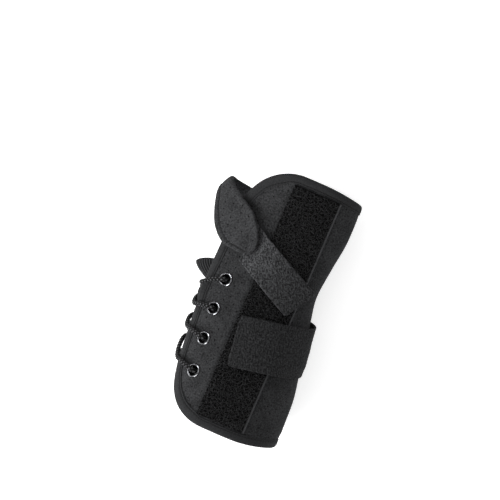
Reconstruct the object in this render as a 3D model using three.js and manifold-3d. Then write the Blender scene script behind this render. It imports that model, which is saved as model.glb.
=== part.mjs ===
// Laced wrist support, right-sided, resting on its palmar side.
// Millimetres: +X ulnar, +Y distal (along the pile strip), +Z dorsal and up, floor at z = 0.

import * as THREE from "three";
import { mergeVertices } from "three/addons/utils/BufferGeometryUtils.js";
import Module from "manifold-3d";

const wasm = await Module();
wasm.setup();

// Wall and tape sizes
const SHELL_THICKNESS = 3;
const SEAM_GAP = 0.4;
const BINDING_WIDTH = 5.5;
const BINDING_THICKNESS = 0.8;
const BINDING_OUTER_GAP = 0.6;
const BINDING_INNER_GAP = 0.8;
const PILE_THICKNESS = 1.9;
const STRAP_THICKNESS = 1.5;
const TAB_THICKNESS = 2.4;
const TONGUE_THICKNESS = 1.8;

// Outer form of the wrap, one row for each cross-section: x of the radial and ulnar sides and their
// heights, x and height of the dorsal ridge, and the lowest height. Cloth below the floor lies flat on it.
const FORM = [
  { y: -104, radial: -33.5, radialZ: 31.0, ulnar: 56.2, ulnarZ: 31, ridgeX: 17, ridge: 68.0, palmar: 5.2 },
  { y: -90, radial: -34.2, radialZ: 31.5, ulnar: 56.8, ulnarZ: 30, ridgeX: 16, ridge: 67.0, palmar: 3.0 },
  { y: -80, radial: -34.6, radialZ: 32.0, ulnar: 57.5, ulnarZ: 29, ridgeX: 16, ridge: 66.0, palmar: -0.6 },
  { y: -60, radial: -35.8, radialZ: 32.0, ulnar: 56.3, ulnarZ: 28, ridgeX: 15, ridge: 63.5, palmar: -1.6 },
  { y: -40, radial: -37.6, radialZ: 31.0, ulnar: 53.4, ulnarZ: 26, ridgeX: 14, ridge: 60.0, palmar: -1.6 },
  { y: -20, radial: -39.4, radialZ: 30.0, ulnar: 49.4, ulnarZ: 25, ridgeX: 13, ridge: 56.5, palmar: -1.6 },
  { y: 0, radial: -41.0, radialZ: 28.5, ulnar: 45.2, ulnarZ: 24, ridgeX: 12, ridge: 53.0, palmar: -1.6 },
  { y: 20, radial: -42.0, radialZ: 28.0, ulnar: 42.2, ulnarZ: 24, ridgeX: 11, ridge: 51.0, palmar: -0.6 },
  { y: 45, radial: -43.0, radialZ: 28.5, ulnar: 44.3, ulnarZ: 25, ridgeX: 9, ridge: 51.0, palmar: 2.6 },
  { y: 70, radial: -44.0, radialZ: 30.0, ulnar: 47.2, ulnarZ: 28, ridgeX: 8, ridge: 53.5, palmar: 6.8 },
  { y: 104, radial: -44.0, radialZ: 34.0, ulnar: 45.0, ulnarZ: 34, ridgeX: 8, ridge: 58.5, palmar: 14.5 },
];
const PALMAR_LINE_X = 5;
const DORSAL_ROUNDNESS = 2.05;
const PALMAR_ROUNDNESS = 2.2;
const QUARTER_STEPS = 80;
const PROBE = 0.4;

// Flat pattern of the shell: x of the dorsal flap's edge, and the open width from it to the palmar edge.
const FLAP = [
  { y: -104, edgeX: -31.5, open: 34 },
  { y: -86, edgeX: -32.2, open: 28 },
  { y: -72, edgeX: -32.8, open: 24 },
  { y: -60, edgeX: -33.8, open: 22 },
  { y: -25, edgeX: -37.1, open: 21 },
  { y: 0, edgeX: -38.8, open: 22 },
  { y: 16, edgeX: -38.8, open: 30 },
  { y: 32, edgeX: -38.5, open: 40 },
  { y: 48, edgeX: -38.0, open: 45 },
  { y: 62, edgeX: -37.0, open: 45 },
  { y: 75, edgeX: -36.0, open: 43 },
  { y: 104, edgeX: -35.0, open: 42 },
];
const PROXIMAL_EDGE = -98.9;
const DISTAL_EDGE = 96.7;
const ULNAR_EDGE_RISE = 6;
const ULNAR_EDGE_DROP = 3.5;
const PALMAR_EDGE_DROP = 12;
// Lengths round the wrap at which its ends start to slant on the ulnar side, and then on the palmar side.
const ULNAR_SLANT_FROM = 5;
const PALMAR_SLANT_FROM = 65;
const PALMAR_SLANT_TO = 125;
const PROXIMAL_CORNER = 41;
const DISTAL_CORNER = 37;
const PALMAR_CORNER = 36;
const PROXIMAL_STEPS = 7;
const DISTAL_STEPS = 5;
// Rows of the shell between its rounded corners by stretch, closest where the palmar edge is cut away.
const SHELL_LEVELS = [
  { from: PROXIMAL_EDGE + PROXIMAL_CORNER, to: -20, rows: 3 },
  { from: -20, to: 22, rows: 6 },
  { from: 22, to: DISTAL_EDGE - DISTAL_CORNER, rows: 4 },
];
// Columns of the shell by stretch, from the dorsal flap's edge (0) to the palmar edge (1).
const SHELL_STRETCHES = [
  { from: 0, to: 0.5, columns: 11 },
  { from: 0.5, to: 0.68, columns: 6 },
  { from: 0.68, to: 0.84, columns: 3 },
  { from: 0.84, to: 1, columns: 7 },
];

// Eyelets, named from the distal end: plan place of the dorsal row, and how far up the palmar row sits.
const EYELETS = [
  { dorsalX: -25.1, dorsalY: 5.8, palmarY: -11 },
  { dorsalX: -25.0, dorsalY: -17.2, palmarY: -27 },
  { dorsalX: -23.0, dorsalY: -40.1, palmarY: -45 },
  { dorsalX: -20.4, dorsalY: -64.7, palmarY: -66 },
];
const EYELET_INSET = 15.5;
const EYELET_RADIUS = 5.3;
const EYELET_BACK_RADIUS = 4.9;
const EYELET_BARREL_RADIUS = 3.8;
const EYELET_HOLE_RADIUS = 3.45;
const EYELET_FLANGE = 0.8;
const EYELET_BACK_GAP = 0.7;
const EYELET_SIDES = 10;
const PUNCH_RADIUS = 4.15;
const PUNCH_DEPTH = 12;
const SEAT_CLEARANCE = 0.5;
const SEAT_RADIUS = EYELET_BACK_RADIUS + SEAT_CLEARANCE;
const SEAT_DEPTH = 3;

// Pile strip, straight along the dorsal side of the wrap
const PILE_RADIAL_X = -6;
const PILE_ULNAR_X = 31;
const PILE_PROXIMAL = -92.1;
const PILE_DISTAL = 89.8;
const PILE_COLUMNS = 6;
const PILE_ROWS = 17;
const PILE_NAP = 0.1;
const PILE_TOP = SEAM_GAP + PILE_THICKNESS + PILE_NAP;
// A strap starts to climb onto the pile this far before its edge, and is up this far before it.
const CLIMB_FROM = 9;
const CLIMB_TO = 1;

// Forearm strap: a straight band on the unrolled wrap, from its closed end to its seam. Past the pile it
// comes down to the wrap, and on the ulnar side it is pulled taut and bridges the hollow under it, most of
// all at its distal edge.
const FOREARM_STRAP = { width: 38, startX: -1.2, startY: -33, tilt: 10.8, length: 89 };
// The closed end is cut in line with the pile: where it starts at its proximal and distal corners.
const STRAP_CUT = { proximal: -2.6, distal: 1.5 };
const FOREARM_STRAP_COLUMNS = 24;
const FOREARM_STRAP_ROWS = 5;
const STRAP_DROP = { from: 2, to: 16 };
const STRAP_BRIDGE = { height: 3.4, proximalShare: 0.35, power: 1.5, full: 28, leave: 58, end: 74 };

// Thumb strap: a straight band in plan, sewn under the tab by a slanted end and closed on the pile
const THUMB_STRAP = { width: 27.6, fromX: -25.5, fromY: 40.5, toX: 31, toY: 9.6, skew: 12.7 };
const THUMB_STRAP_COLUMNS = 14;
const THUMB_STRAP_ROWS = 5;

// Thumb tab, one row for each station from its palmar seam round the web fold to its dorsal tip. The near
// edge is the bound one beside the thumb opening, the far edge the distal one, and crown lifts the middle.
const TAB = [
  { nearX: -12.0, nearY: 55.0, nearZ: 2.6, farX: -13.0, farY: 73.0, farZ: 5.4, crown: 0.0 },
  { nearX: -23.0, nearY: 55.0, nearZ: 4.2, farX: -23.0, farY: 74.4, farZ: 7.0, crown: 0.0 },
  { nearX: -36.0, nearY: 55.5, nearZ: 7.4, farX: -34.5, farY: 76.0, farZ: 10.6, crown: 0.2 },
  { nearX: -47.2, nearY: 60.0, nearZ: 13.4, farX: -44.5, farY: 77.2, farZ: 16.4, crown: 0.6 },
  { nearX: -54.8, nearY: 66.0, nearZ: 21.5, farX: -49.6, farY: 78.0, farZ: 24.5, crown: 1.0 },
  { nearX: -55.8, nearY: 62.6, nearZ: 30.0, farX: -48.8, farY: 75.4, farZ: 34.0, crown: 1.4 },
  { nearX: -52.9, nearY: 50.0, nearZ: 36.8, farX: -40.0, farY: 68.0, farZ: 43.0, crown: 1.4 },
  { nearX: -47.6, nearY: 38.6, nearZ: 40.8, farX: -26.8, farY: 60.0, farZ: 50.0, crown: 1.2 },
  { nearX: -38.4, nearY: 30.2, nearZ: 43.6, farX: -17.4, farY: 49.0, farZ: 52.4, crown: 0.8 },
  { nearX: -28.0, nearY: 28.4, nearZ: 47.9, farX: -13.6, farY: 38.4, farZ: 52.6, crown: 0.4 },
  { nearX: -19.4, nearY: 27.6, nearZ: 50.7, farX: -14.2, farY: 31.4, farZ: 52.3, crown: 0.1 },
];
const TAB_STEPS_PER_ROW = 3;
const TAB_COLUMNS = 5;

// Tongue: across from under the dorsal flap to its seam inside the palmar flap, with a flared corner
const TONGUE = { under: -14, seam: 31, seamWidth: 5, seamRise: 7, depth: 9.9, proximal: -75, distal: 17 };
const TONGUE_EAR = { lift: 18, across: 11, foot: -6, top: 11, slant: 3.2, end: 15, shoulder: 9 };
const TONGUE_COLUMNS = 13;
const TONGUE_ROWS = 15;

// Lace: heights of its centre line over and under the flaps, and its passes through the eyelets in order.
// Where it runs over the dorsal edge, drift moves it along that edge, and sweep moves it past the edge.
const LACE_RADIUS = 1.65;
const LACE_SIDES = 8;
const LACE_STEPS_PER_POINT = 1.5;
const LACE_OVER = 3.2;
const LACE_UNDER = -6.9;
const LACE_CROSS_OVER = -0.5;
const LACE_CROSS_UNDER = -4.4;
const LACE_BAR = -0.8;
const LACE_TURN = 2.6;
const LACE_CLEAR = 2.8;
const LACE_END_GAP = 0.5;
// Share of a turn at which the lace enters the eyelet's hole, and share of a run to the flap's edge at which
// it has settled on the flap.
const LACE_HOLE_SHARE = 0.15;
const LACE_RUN_SHARE = 0.55;
const LACE_PASSES = [
  { row: "dorsal", number: 4, way: "out", drift: -2.0, sweep: 9.5 },
  { row: "palmar", number: 3, way: "out", drift: 0.0, sweep: 0.0 },
  { row: "dorsal", number: 2, way: "out", drift: -4.0, sweep: 0.8 },
  { row: "palmar", number: 1, way: "out", drift: 0.0, sweep: 0.0 },
  { row: "dorsal", number: 1, way: "in", drift: -2.4, sweep: 0.0 },
  { row: "palmar", number: 2, way: "in", drift: 0.0, sweep: 0.0 },
  { row: "dorsal", number: 3, way: "in", drift: -0.5, sweep: 5.0 },
  { row: "palmar", number: 4, way: "in", drift: 0.0, sweep: 0.0 },
];

const { lerp, smoothstep, degToRad } = THREE.MathUtils;
const range = (count) => Array.from({ length: count }, (_, index) => index);

// Smooth curve through one column of a table whose rows are sorted by y.
function tableValue(rows, column, y) {
  const last = rows.length - 1;
  const found = rows.findIndex((row, index) => index < last && y <= rows[index + 1].y);
  const index = found < 0 ? last - 1 : found;
  const slopeAt = (place) => {
    const before = rows[Math.max(place - 1, 0)];
    const after = rows[Math.min(place + 1, last)];
    return (after[column] - before[column]) / (after.y - before.y);
  };
  const from = rows[index];
  const to = rows[index + 1];
  const span = to.y - from.y;
  const t = (y - from.y) / span;
  const ease = t * t * (3 - 2 * t);
  const leave = t * (1 - t) * (1 - t) * span * slopeAt(index);
  const arrive = t * t * (t - 1) * span * slopeAt(index + 1);
  return lerp(from[column], to[column], ease) + leave + arrive;
}

// One cross-section of the outer form as a closed line with its running length. It starts on the dorsal
// ridge and goes round by the ulnar side, each quarter a rounded arc between two of the form's extremes.
const sections = new Map();

function section(y) {
  const key = Math.round(y * 1000);
  if (sections.has(key)) return sections.get(key);
  const form = Object.fromEntries(Object.keys(FORM[0]).map((name) => [name, tableValue(FORM, name, y)]));
  const top = { x: form.ridgeX, z: form.ridge, power: DORSAL_ROUNDNESS };
  const bottom = { x: PALMAR_LINE_X, z: form.palmar, power: PALMAR_ROUNDNESS };
  const ulnar = { x: form.ulnar, z: form.ulnarZ };
  const radial = { x: form.radial, z: form.radialZ };
  const quarters = [
    { crown: top, side: ulnar },
    { crown: bottom, side: ulnar },
    { crown: bottom, side: radial },
    { crown: top, side: radial },
  ];
  const points = [];
  quarters.forEach(({ crown, side }, quarter) => {
    for (const step of range(QUARTER_STEPS)) {
      const turn = quarter % 2 === 0 ? step : QUARTER_STEPS - step;
      const angle = (turn / QUARTER_STEPS) * (Math.PI / 2);
      const x = crown.x + (side.x - crown.x) * Math.sin(angle) ** (2 / crown.power);
      const z = side.z + (crown.z - side.z) * Math.max(Math.cos(angle), 0) ** (2 / crown.power);
      points.push({ x, z: Math.max(z, 0) });
    }
  });
  points.push(points[0]);
  const lengths = [0];
  for (let index = 1; index < points.length; index += 1) {
    const step = Math.hypot(points[index].x - points[index - 1].x, points[index].z - points[index - 1].z);
    lengths.push(lengths[index - 1] + step);
  }
  const result = { points, lengths, total: lengths[lengths.length - 1] };
  sections.set(key, result);
  return result;
}

// Point of the outer form at a length round its section: positive by the ulnar side, negative by the radial.
function formPoint(around, y) {
  const { points, lengths, total } = section(y);
  const wanted = ((around % total) + total) % total;
  let low = 0;
  let high = lengths.length - 1;
  while (high - low > 1) {
    const middle = (low + high) >> 1;
    if (lengths[middle] <= wanted) low = middle;
    else high = middle;
  }
  const t = (wanted - lengths[low]) / Math.max(lengths[high] - lengths[low], 1e-9);
  return new THREE.Vector3(lerp(points[low].x, points[high].x, t), y, lerp(points[low].z, points[high].z, t));
}

// Point at a height above the outer form, measured along its normal.
function skin(around, y, height) {
  const across = formPoint(around + PROBE, y).sub(formPoint(around - PROBE, y));
  const along = formPoint(around, y + PROBE).sub(formPoint(around, y - PROBE));
  return formPoint(around, y).addScaledVector(across.cross(along).normalize(), height);
}

// Length round the section at which the dorsal side stands over a given x.
function aroundAt(x, y) {
  const { points, lengths, total } = section(y);
  const ulnar = x >= points[0].x;
  let index = ulnar ? 1 : points.length - 2;
  const step = ulnar ? 1 : -1;
  while (ulnar ? points[index].x < x : points[index].x > x) index += step;
  const before = points[index - step];
  const t = (x - before.x) / (points[index].x - before.x);
  const length = lerp(lengths[index - step], lengths[index], t);
  return ulnar ? length : length - total;
}

const dorsal = (x, y, height) => skin(aroundAt(x, y), y, height);
const flapEdge = (y) => -aroundAt(tableValue(FLAP, "edgeX", y), y);
const openWidth = (y) => tableValue(FLAP, "open", y);

// Point beside the lacing: past is the distance from the dorsal flap's edge toward the palmar flap.
const lacing = (past, y, height) => skin(-flapEdge(y) - past, y, height);

// Closed sheet over a grid: place(u, v, side) gives its inner (0) and outer (1) faces.
function sheet(columns, rows, place) {
  const positions = [];
  for (const side of [0, 1]) {
    for (const row of range(rows + 1)) {
      for (const column of range(columns + 1)) {
        positions.push(...place(column / columns, row / rows, side).toArray());
      }
    }
  }
  const at = (side, row, column) => (side * (rows + 1) + row) * (columns + 1) + column;
  const faces = [];
  const quad = (a, b, c, d) => faces.push(a, b, c, a, c, d);
  for (const row of range(rows)) {
    for (const column of range(columns)) {
      quad(at(1, row, column), at(1, row, column + 1), at(1, row + 1, column + 1), at(1, row + 1, column));
      quad(at(0, row, column), at(0, row + 1, column), at(0, row + 1, column + 1), at(0, row, column + 1));
    }
  }
  for (const column of range(columns)) {
    quad(at(0, 0, column), at(0, 0, column + 1), at(1, 0, column + 1), at(1, 0, column));
    quad(at(1, rows, column), at(1, rows, column + 1), at(0, rows, column + 1), at(0, rows, column));
  }
  for (const row of range(rows)) {
    quad(at(1, row, 0), at(1, row + 1, 0), at(0, row + 1, 0), at(0, row, 0));
    quad(at(0, row, columns), at(0, row + 1, columns), at(1, row + 1, columns), at(1, row, columns));
  }
  return geometryFrom(positions, faces);
}

// Sheet of even thickness about a middle surface given by middle(u, v).
function sheetAbout(columns, rows, thickness, middle) {
  const probe = 1e-3;
  const before = (t) => Math.max(t - probe, 0);
  const after = (t) => Math.min(t + probe, 1);
  return sheet(columns, rows, (u, v, side) => {
    const across = middle(after(u), v).sub(middle(before(u), v));
    const along = middle(u, after(v)).sub(middle(u, before(v)));
    const normal = across.cross(along).normalize();
    return middle(u, v).addScaledVector(normal, (side - 0.5) * thickness);
  });
}

// Closed hoop: equal rings of points, joined in order and back to the first.
function hoop(rings) {
  const size = rings[0].length;
  const faces = [];
  rings.forEach((_, ring) => {
    const next = (ring + 1) % rings.length;
    for (const corner of range(size)) {
      const beside = (corner + 1) % size;
      const [a, b] = [ring * size + corner, ring * size + beside];
      const [c, d] = [next * size + beside, next * size + corner];
      faces.push(a, b, c, a, c, d);
    }
  });
  return geometryFrom(rings.flat().flatMap((point) => point.toArray()), faces);
}

function geometryFrom(positions, faces) {
  const geometry = new THREE.BufferGeometry();
  geometry.setAttribute("position", new THREE.Float32BufferAttribute(positions, 3));
  geometry.setIndex(faces);
  return geometry;
}

function toSolid(geometry) {
  const plain = geometry.clone();
  plain.deleteAttribute("normal");
  plain.deleteAttribute("uv");
  const merged = mergeVertices(plain);
  const vertProperties = new Float32Array(merged.attributes.position.array);
  const triVerts = new Uint32Array(merged.index.array);
  return new wasm.Manifold(new wasm.Mesh({ numProp: 3, vertProperties, triVerts }));
}

function toGeometry(solid) {
  const { vertProperties, triVerts } = solid.getMesh();
  return geometryFrom(Array.from(vertProperties), Array.from(triVerts));
}

// Distances of the shell's rows from its proximal edge, close together where its corners are round.
function shellRows() {
  const length = DISTAL_EDGE - PROXIMAL_EDGE;
  const corner = (radius, steps) => range(steps).map((step) => {
    return radius * (1 - Math.cos((step / steps) * (Math.PI / 2)));
  });
  const middle = SHELL_LEVELS.flatMap(({ from, to, rows }) => {
    return range(rows).map((row) => lerp(from, to, row / rows) - PROXIMAL_EDGE);
  });
  const fromDistal = [...corner(DISTAL_CORNER, DISTAL_STEPS), DISTAL_CORNER];
  const distal = fromDistal.map((distance) => length - distance).reverse();
  return [...corner(PROXIMAL_CORNER, PROXIMAL_STEPS), ...middle, ...distal];
}

const SHELL_ROWS = shellRows();
const SHELL_SHARES = [0, ...SHELL_STRETCHES.flatMap(({ from, to, columns }) => {
  return range(columns).map((column) => lerp(from, to, (column + 1) / columns));
})];
const SHELL_COLUMNS = SHELL_SHARES.length - 1;

// How far a rounded corner draws an edge in, at a distance from the end of the shell.
function cornerInset(distance, radius) {
  const left = radius - THREE.MathUtils.clamp(distance, 0, radius);
  return radius - Math.sqrt(radius ** 2 - left ** 2);
}

// Place on the unrolled shell: column from the dorsal flap's edge to the palmar edge, row along the axis.
function shellPattern(column, row) {
  const distance = SHELL_ROWS[row];
  const level = PROXIMAL_EDGE + distance;
  const fromEnd = Math.min(distance, DISTAL_EDGE - level);
  const flapCorner = distance === fromEnd ? PROXIMAL_CORNER : DISTAL_CORNER;
  const start = -flapEdge(level) + cornerInset(fromEnd, flapCorner);
  const palmarEdge = section(level).total - flapEdge(level) - openWidth(level);
  const end = palmarEdge - cornerInset(fromEnd, PALMAR_CORNER);
  const around = lerp(start, end, SHELL_SHARES[column]);
  const ulnar = smoothstep(around, ULNAR_SLANT_FROM, PALMAR_SLANT_FROM);
  const palmar = smoothstep(around, PALMAR_SLANT_FROM, PALMAR_SLANT_TO);
  const low = PROXIMAL_EDGE + ulnar * ULNAR_EDGE_RISE;
  const high = DISTAL_EDGE - ulnar * ULNAR_EDGE_DROP - palmar * PALMAR_EDGE_DROP;
  return { around, y: lerp(low, high, distance / (DISTAL_EDGE - PROXIMAL_EDGE)) };
}

function eyeletPlaces() {
  return EYELETS.flatMap(({ dorsalX, dorsalY, palmarY }, index) => {
    const dorsalPast = -flapEdge(dorsalY) - aroundAt(dorsalX, dorsalY);
    const palmarPast = openWidth(palmarY) + EYELET_INSET;
    return [
      { row: "dorsal", number: index + 1, past: dorsalPast, y: dorsalY },
      { row: "palmar", number: index + 1, past: palmarPast, y: palmarY },
    ];
  });
}

const EYELET_PLACES = eyeletPlaces();

// Turns a shape built along +Y so that it stands on the wrap at an eyelet.
function standAt(geometry, { past, y }) {
  const foot = lacing(past, y, 0);
  const normal = lacing(past, y, 1).sub(foot).normalize();
  const turn = new THREE.Quaternion().setFromUnitVectors(new THREE.Vector3(0, 1, 0), normal);
  return geometry.applyQuaternion(turn).translate(foot.x, foot.y, foot.z);
}

function shellGeometry() {
  const rows = SHELL_ROWS.length - 1;
  const wrap = sheet(SHELL_COLUMNS, rows, (u, v, side) => {
    const { around, y } = shellPattern(Math.round(u * SHELL_COLUMNS), Math.round(v * rows));
    return skin(around, y, (side - 1) * SHELL_THICKNESS);
  });
  return toGeometry(EYELET_PLACES.reduce((solid, place) => {
    const punch = new THREE.CylinderGeometry(PUNCH_RADIUS, PUNCH_RADIUS, PUNCH_DEPTH, EYELET_SIDES);
    const punched = solid.subtract(toSolid(standAt(punch, place)));
    if (place.row === "dorsal") return punched;
    const seat = new THREE.CylinderGeometry(SEAT_RADIUS, SEAT_RADIUS, SEAT_DEPTH, EYELET_SIDES);
    seat.translate(0, -SHELL_THICKNESS - SEAT_DEPTH / 2, 0);
    return punched.subtract(toSolid(standAt(seat, place)));
  }, toSolid(wrap)));
}

// The shell's edge as places on its pattern, once round with the shell on the left.
function shellOutline() {
  const last = SHELL_ROWS.length - 1;
  return [
    ...range(SHELL_COLUMNS).map((column) => shellPattern(column, 0)),
    ...range(last).map((row) => shellPattern(SHELL_COLUMNS, row)),
    ...range(SHELL_COLUMNS).map((column) => shellPattern(SHELL_COLUMNS - column, last)),
    ...range(last).map((row) => shellPattern(0, last - row)),
  ];
}

// Folded tape over the shell's edge: a channel whose two legs follow the outer and inner faces.
function bindingGeometry() {
  const outline = shellOutline();
  const inner = -SHELL_THICKNESS - BINDING_INNER_GAP;
  const profile = [
    { inward: BINDING_WIDTH, height: BINDING_OUTER_GAP },
    { inward: BINDING_WIDTH, height: BINDING_OUTER_GAP + BINDING_THICKNESS },
    { inward: -SEAM_GAP - BINDING_THICKNESS, height: BINDING_OUTER_GAP + BINDING_THICKNESS },
    { inward: -SEAM_GAP - BINDING_THICKNESS, height: inner - BINDING_THICKNESS },
    { inward: BINDING_WIDTH, height: inner - BINDING_THICKNESS },
    { inward: BINDING_WIDTH, height: inner },
    { inward: -SEAM_GAP, height: inner },
    { inward: -SEAM_GAP, height: BINDING_OUTER_GAP },
  ];
  const rings = outline.map((place, index) => {
    const before = outline[(index + outline.length - 1) % outline.length];
    const after = outline[(index + 1) % outline.length];
    const tangent = new THREE.Vector2(after.around - before.around, after.y - before.y);
    const wrapped = section(place.y).total;
    if (Math.abs(tangent.x) > wrapped / 2) tangent.x -= Math.sign(tangent.x) * wrapped;
    tangent.normalize();
    return profile.map(({ inward, height }) => {
      return skin(place.around - tangent.y * inward, place.y + tangent.x * inward, height);
    });
  });
  return hoop(rings);
}

// Height of a strap's underside where it climbs from the shell onto the pile strip and off again.
function overPile(x) {
  const onto = smoothstep(x, PILE_RADIAL_X - CLIMB_FROM, PILE_RADIAL_X - CLIMB_TO);
  return lerp(SEAM_GAP, PILE_TOP + SEAM_GAP, onto);
}

function pileGeometry() {
  return sheet(PILE_COLUMNS, PILE_ROWS, (u, v, side) => {
    const y = lerp(PILE_PROXIMAL, PILE_DISTAL, v);
    return dorsal(lerp(PILE_RADIAL_X, PILE_ULNAR_X, u), y, SEAM_GAP + side * PILE_THICKNESS);
  });
}

function forearmStrapGeometry() {
  const { width, startX, startY, tilt, length } = FOREARM_STRAP;
  const { height, proximalShare, power, full, leave, end } = STRAP_BRIDGE;
  const along = new THREE.Vector2(1, 0).rotateAround(new THREE.Vector2(), degToRad(tilt));
  const start = aroundAt(startX, startY);
  const pileEnd = aroundAt(PILE_ULNAR_X, startY);
  return sheet(FOREARM_STRAP_COLUMNS, FOREARM_STRAP_ROWS, (u, v, side) => {
    const run = lerp(lerp(STRAP_CUT.proximal, STRAP_CUT.distal, v), length, u);
    const off = (v - 0.5) * width;
    const around = start + run * along.x - off * along.y;
    const y = startY + run * along.y + off * along.x;
    const down = smoothstep(around, pileEnd + STRAP_DROP.from, pileEnd + STRAP_DROP.to);
    const laid = lerp(PILE_TOP + SEAM_GAP, SEAM_GAP, down);
    const spanned = smoothstep(around, pileEnd, pileEnd + full) * (1 - smoothstep(around, leave, end));
    const underside = laid + height * spanned * lerp(proximalShare, 1, v ** power);
    return skin(around, y, underside + side * STRAP_THICKNESS);
  });
}

function thumbStrapGeometry() {
  const { width, fromX, fromY, toX, toY, skew } = THUMB_STRAP;
  const along = new THREE.Vector2(toX - fromX, toY - fromY);
  const length = along.length();
  along.normalize();
  return sheet(THUMB_STRAP_COLUMNS, THUMB_STRAP_ROWS, (u, v, side) => {
    const off = (v - 0.5) * width;
    const run = lerp(skew * (1 - v), length, u);
    const x = fromX + run * along.x - off * along.y;
    const y = fromY + run * along.y + off * along.x;
    return dorsal(x, y, overPile(x) + side * STRAP_THICKNESS);
  });
}

function tabGeometry() {
  const edge = (side) => new THREE.CatmullRomCurve3(TAB.map((row) => {
    return new THREE.Vector3(row[`${side}X`], row[`${side}Y`], row[`${side}Z`]);
  }));
  const near = edge("near");
  const far = edge("far");
  const stations = TAB.length - 1;
  const crownAt = (v) => {
    const place = THREE.MathUtils.clamp(v, 0, 1) * stations;
    const index = Math.min(Math.floor(place), stations - 1);
    return lerp(TAB[index].crown, TAB[index + 1].crown, place - index);
  };
  const middle = (u, v) => {
    const from = near.getPoint(v);
    const to = far.getPoint(v);
    const along = near.getTangent(v).add(far.getTangent(v));
    const up = along.cross(to.clone().sub(from)).normalize();
    return from.lerp(to, u).addScaledVector(up, crownAt(v) * 4 * u * (1 - u));
  };
  return sheetAbout(TAB_COLUMNS, stations * TAB_STEPS_PER_ROW, TAB_THICKNESS, middle);
}

// The tongue hangs behind the lacing, rises to its seam inside the palmar flap and flares at one corner.
function tongueGeometry() {
  const { under, seam, seamWidth, seamRise, depth, proximal, distal } = TONGUE;
  const { lift, across, foot, top, slant, end, shoulder } = TONGUE_EAR;
  const seamHeight = -SHELL_THICKNESS - BINDING_INNER_GAP - TONGUE_THICKNESS / 2;
  return sheetAbout(TONGUE_COLUMNS, TONGUE_ROWS, TONGUE_THICKNESS, (u, v) => {
    const level = lerp(proximal, distal, v);
    const wide = openWidth(level) + seam;
    const ear = smoothstep(level, foot - shoulder, foot + shoulder);
    const past = lerp(lerp(wide, end, ear), under, u);
    const y = level - slant * (Math.max(past, 0) / across) ** 2 * ear ** 2;
    const sewn = smoothstep(past, wide - seamWidth - seamRise, wide - seamWidth) * (1 - ear);
    const flare = lift * smoothstep(past, 0, across) * smoothstep(y, foot, top) * ear;
    return lacing(past, y, lerp(-depth, seamHeight, sewn) + flare);
  });
}

// Rolled metal ring: wide flange outside, barrel through the shell, smaller roll inside.
function eyeletGeometry(place) {
  const back = -SHELL_THICKNESS - EYELET_BACK_GAP;
  const front = SEAM_GAP;
  const profile = [
    new THREE.Vector2(EYELET_HOLE_RADIUS, back - EYELET_FLANGE),
    new THREE.Vector2(EYELET_BACK_RADIUS, back - EYELET_FLANGE),
    new THREE.Vector2(EYELET_BACK_RADIUS, back),
    new THREE.Vector2(EYELET_BARREL_RADIUS, back),
    new THREE.Vector2(EYELET_BARREL_RADIUS, front),
    new THREE.Vector2(EYELET_RADIUS, front),
    new THREE.Vector2(EYELET_RADIUS - EYELET_FLANGE, front + EYELET_FLANGE),
    new THREE.Vector2(EYELET_HOLE_RADIUS, front + EYELET_FLANGE),
    new THREE.Vector2(EYELET_HOLE_RADIUS, back - EYELET_FLANGE),
  ];
  return standAt(new THREE.LatheGeometry(profile, EYELET_SIDES), place);
}

// Centre line of the lace. It starts and ends in the middle of the bar behind the lowest eyelets, and each
// pass turns through one eyelet on its way to the next.
function laceRoute() {
  const stops = LACE_PASSES.map((pass) => {
    const place = EYELET_PLACES.find(({ row, number }) => row === pass.row && number === pass.number);
    return { ...pass, ...place };
  });
  const runs = stops.map((stop, index) => crossing(stop, stops[(index + 1) % stops.length]));
  const bar = runs[runs.length - 1];
  const passes = stops.flatMap((stop, index) => {
    const arriving = runs[(index + runs.length - 1) % runs.length];
    const leaving = runs[index];
    const turn = turnThrough(stop, arriving[arriving.length - 1], leaving[0]);
    return leaving === bar ? turn : [...turn, ...leaving];
  });
  const middle = (bar.length - 1) / 2;
  const ending = { ...bar[middle], past: bar[middle].past + LACE_END_GAP / 2 };
  const beginning = { ...bar[middle], past: bar[middle].past - LACE_END_GAP / 2 };
  const route = [beginning, ...bar.slice(middle + 1), ...passes, ...bar.slice(0, middle), ending];
  return route.map(({ past, y, height }) => lacing(past, y, height));
}

// The lace turns from one face of the flap to the other inside an eyelet, in line with its runs on both sides.
function turnThrough(stop, before, after) {
  const from = stop.way === "out" ? LACE_UNDER : LACE_OVER;
  const to = stop.way === "out" ? LACE_OVER : LACE_UNDER;
  const toward = (point, reach, height) => {
    const share = reach / Math.abs(point.past - stop.past);
    return { past: lerp(stop.past, point.past, share), y: lerp(stop.y, point.y, share), height };
  };
  return [
    toward(before, LACE_TURN, from),
    toward(before, LACE_TURN * LACE_HOLE_SHARE, lerp(from, to, LACE_HOLE_SHARE)),
    { past: stop.past, y: stop.y, height: lerp(from, to, 0.5) },
    toward(after, LACE_TURN * LACE_HOLE_SHARE, lerp(from, to, 1 - LACE_HOLE_SHARE)),
    toward(after, LACE_TURN, to),
  ];
}

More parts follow.
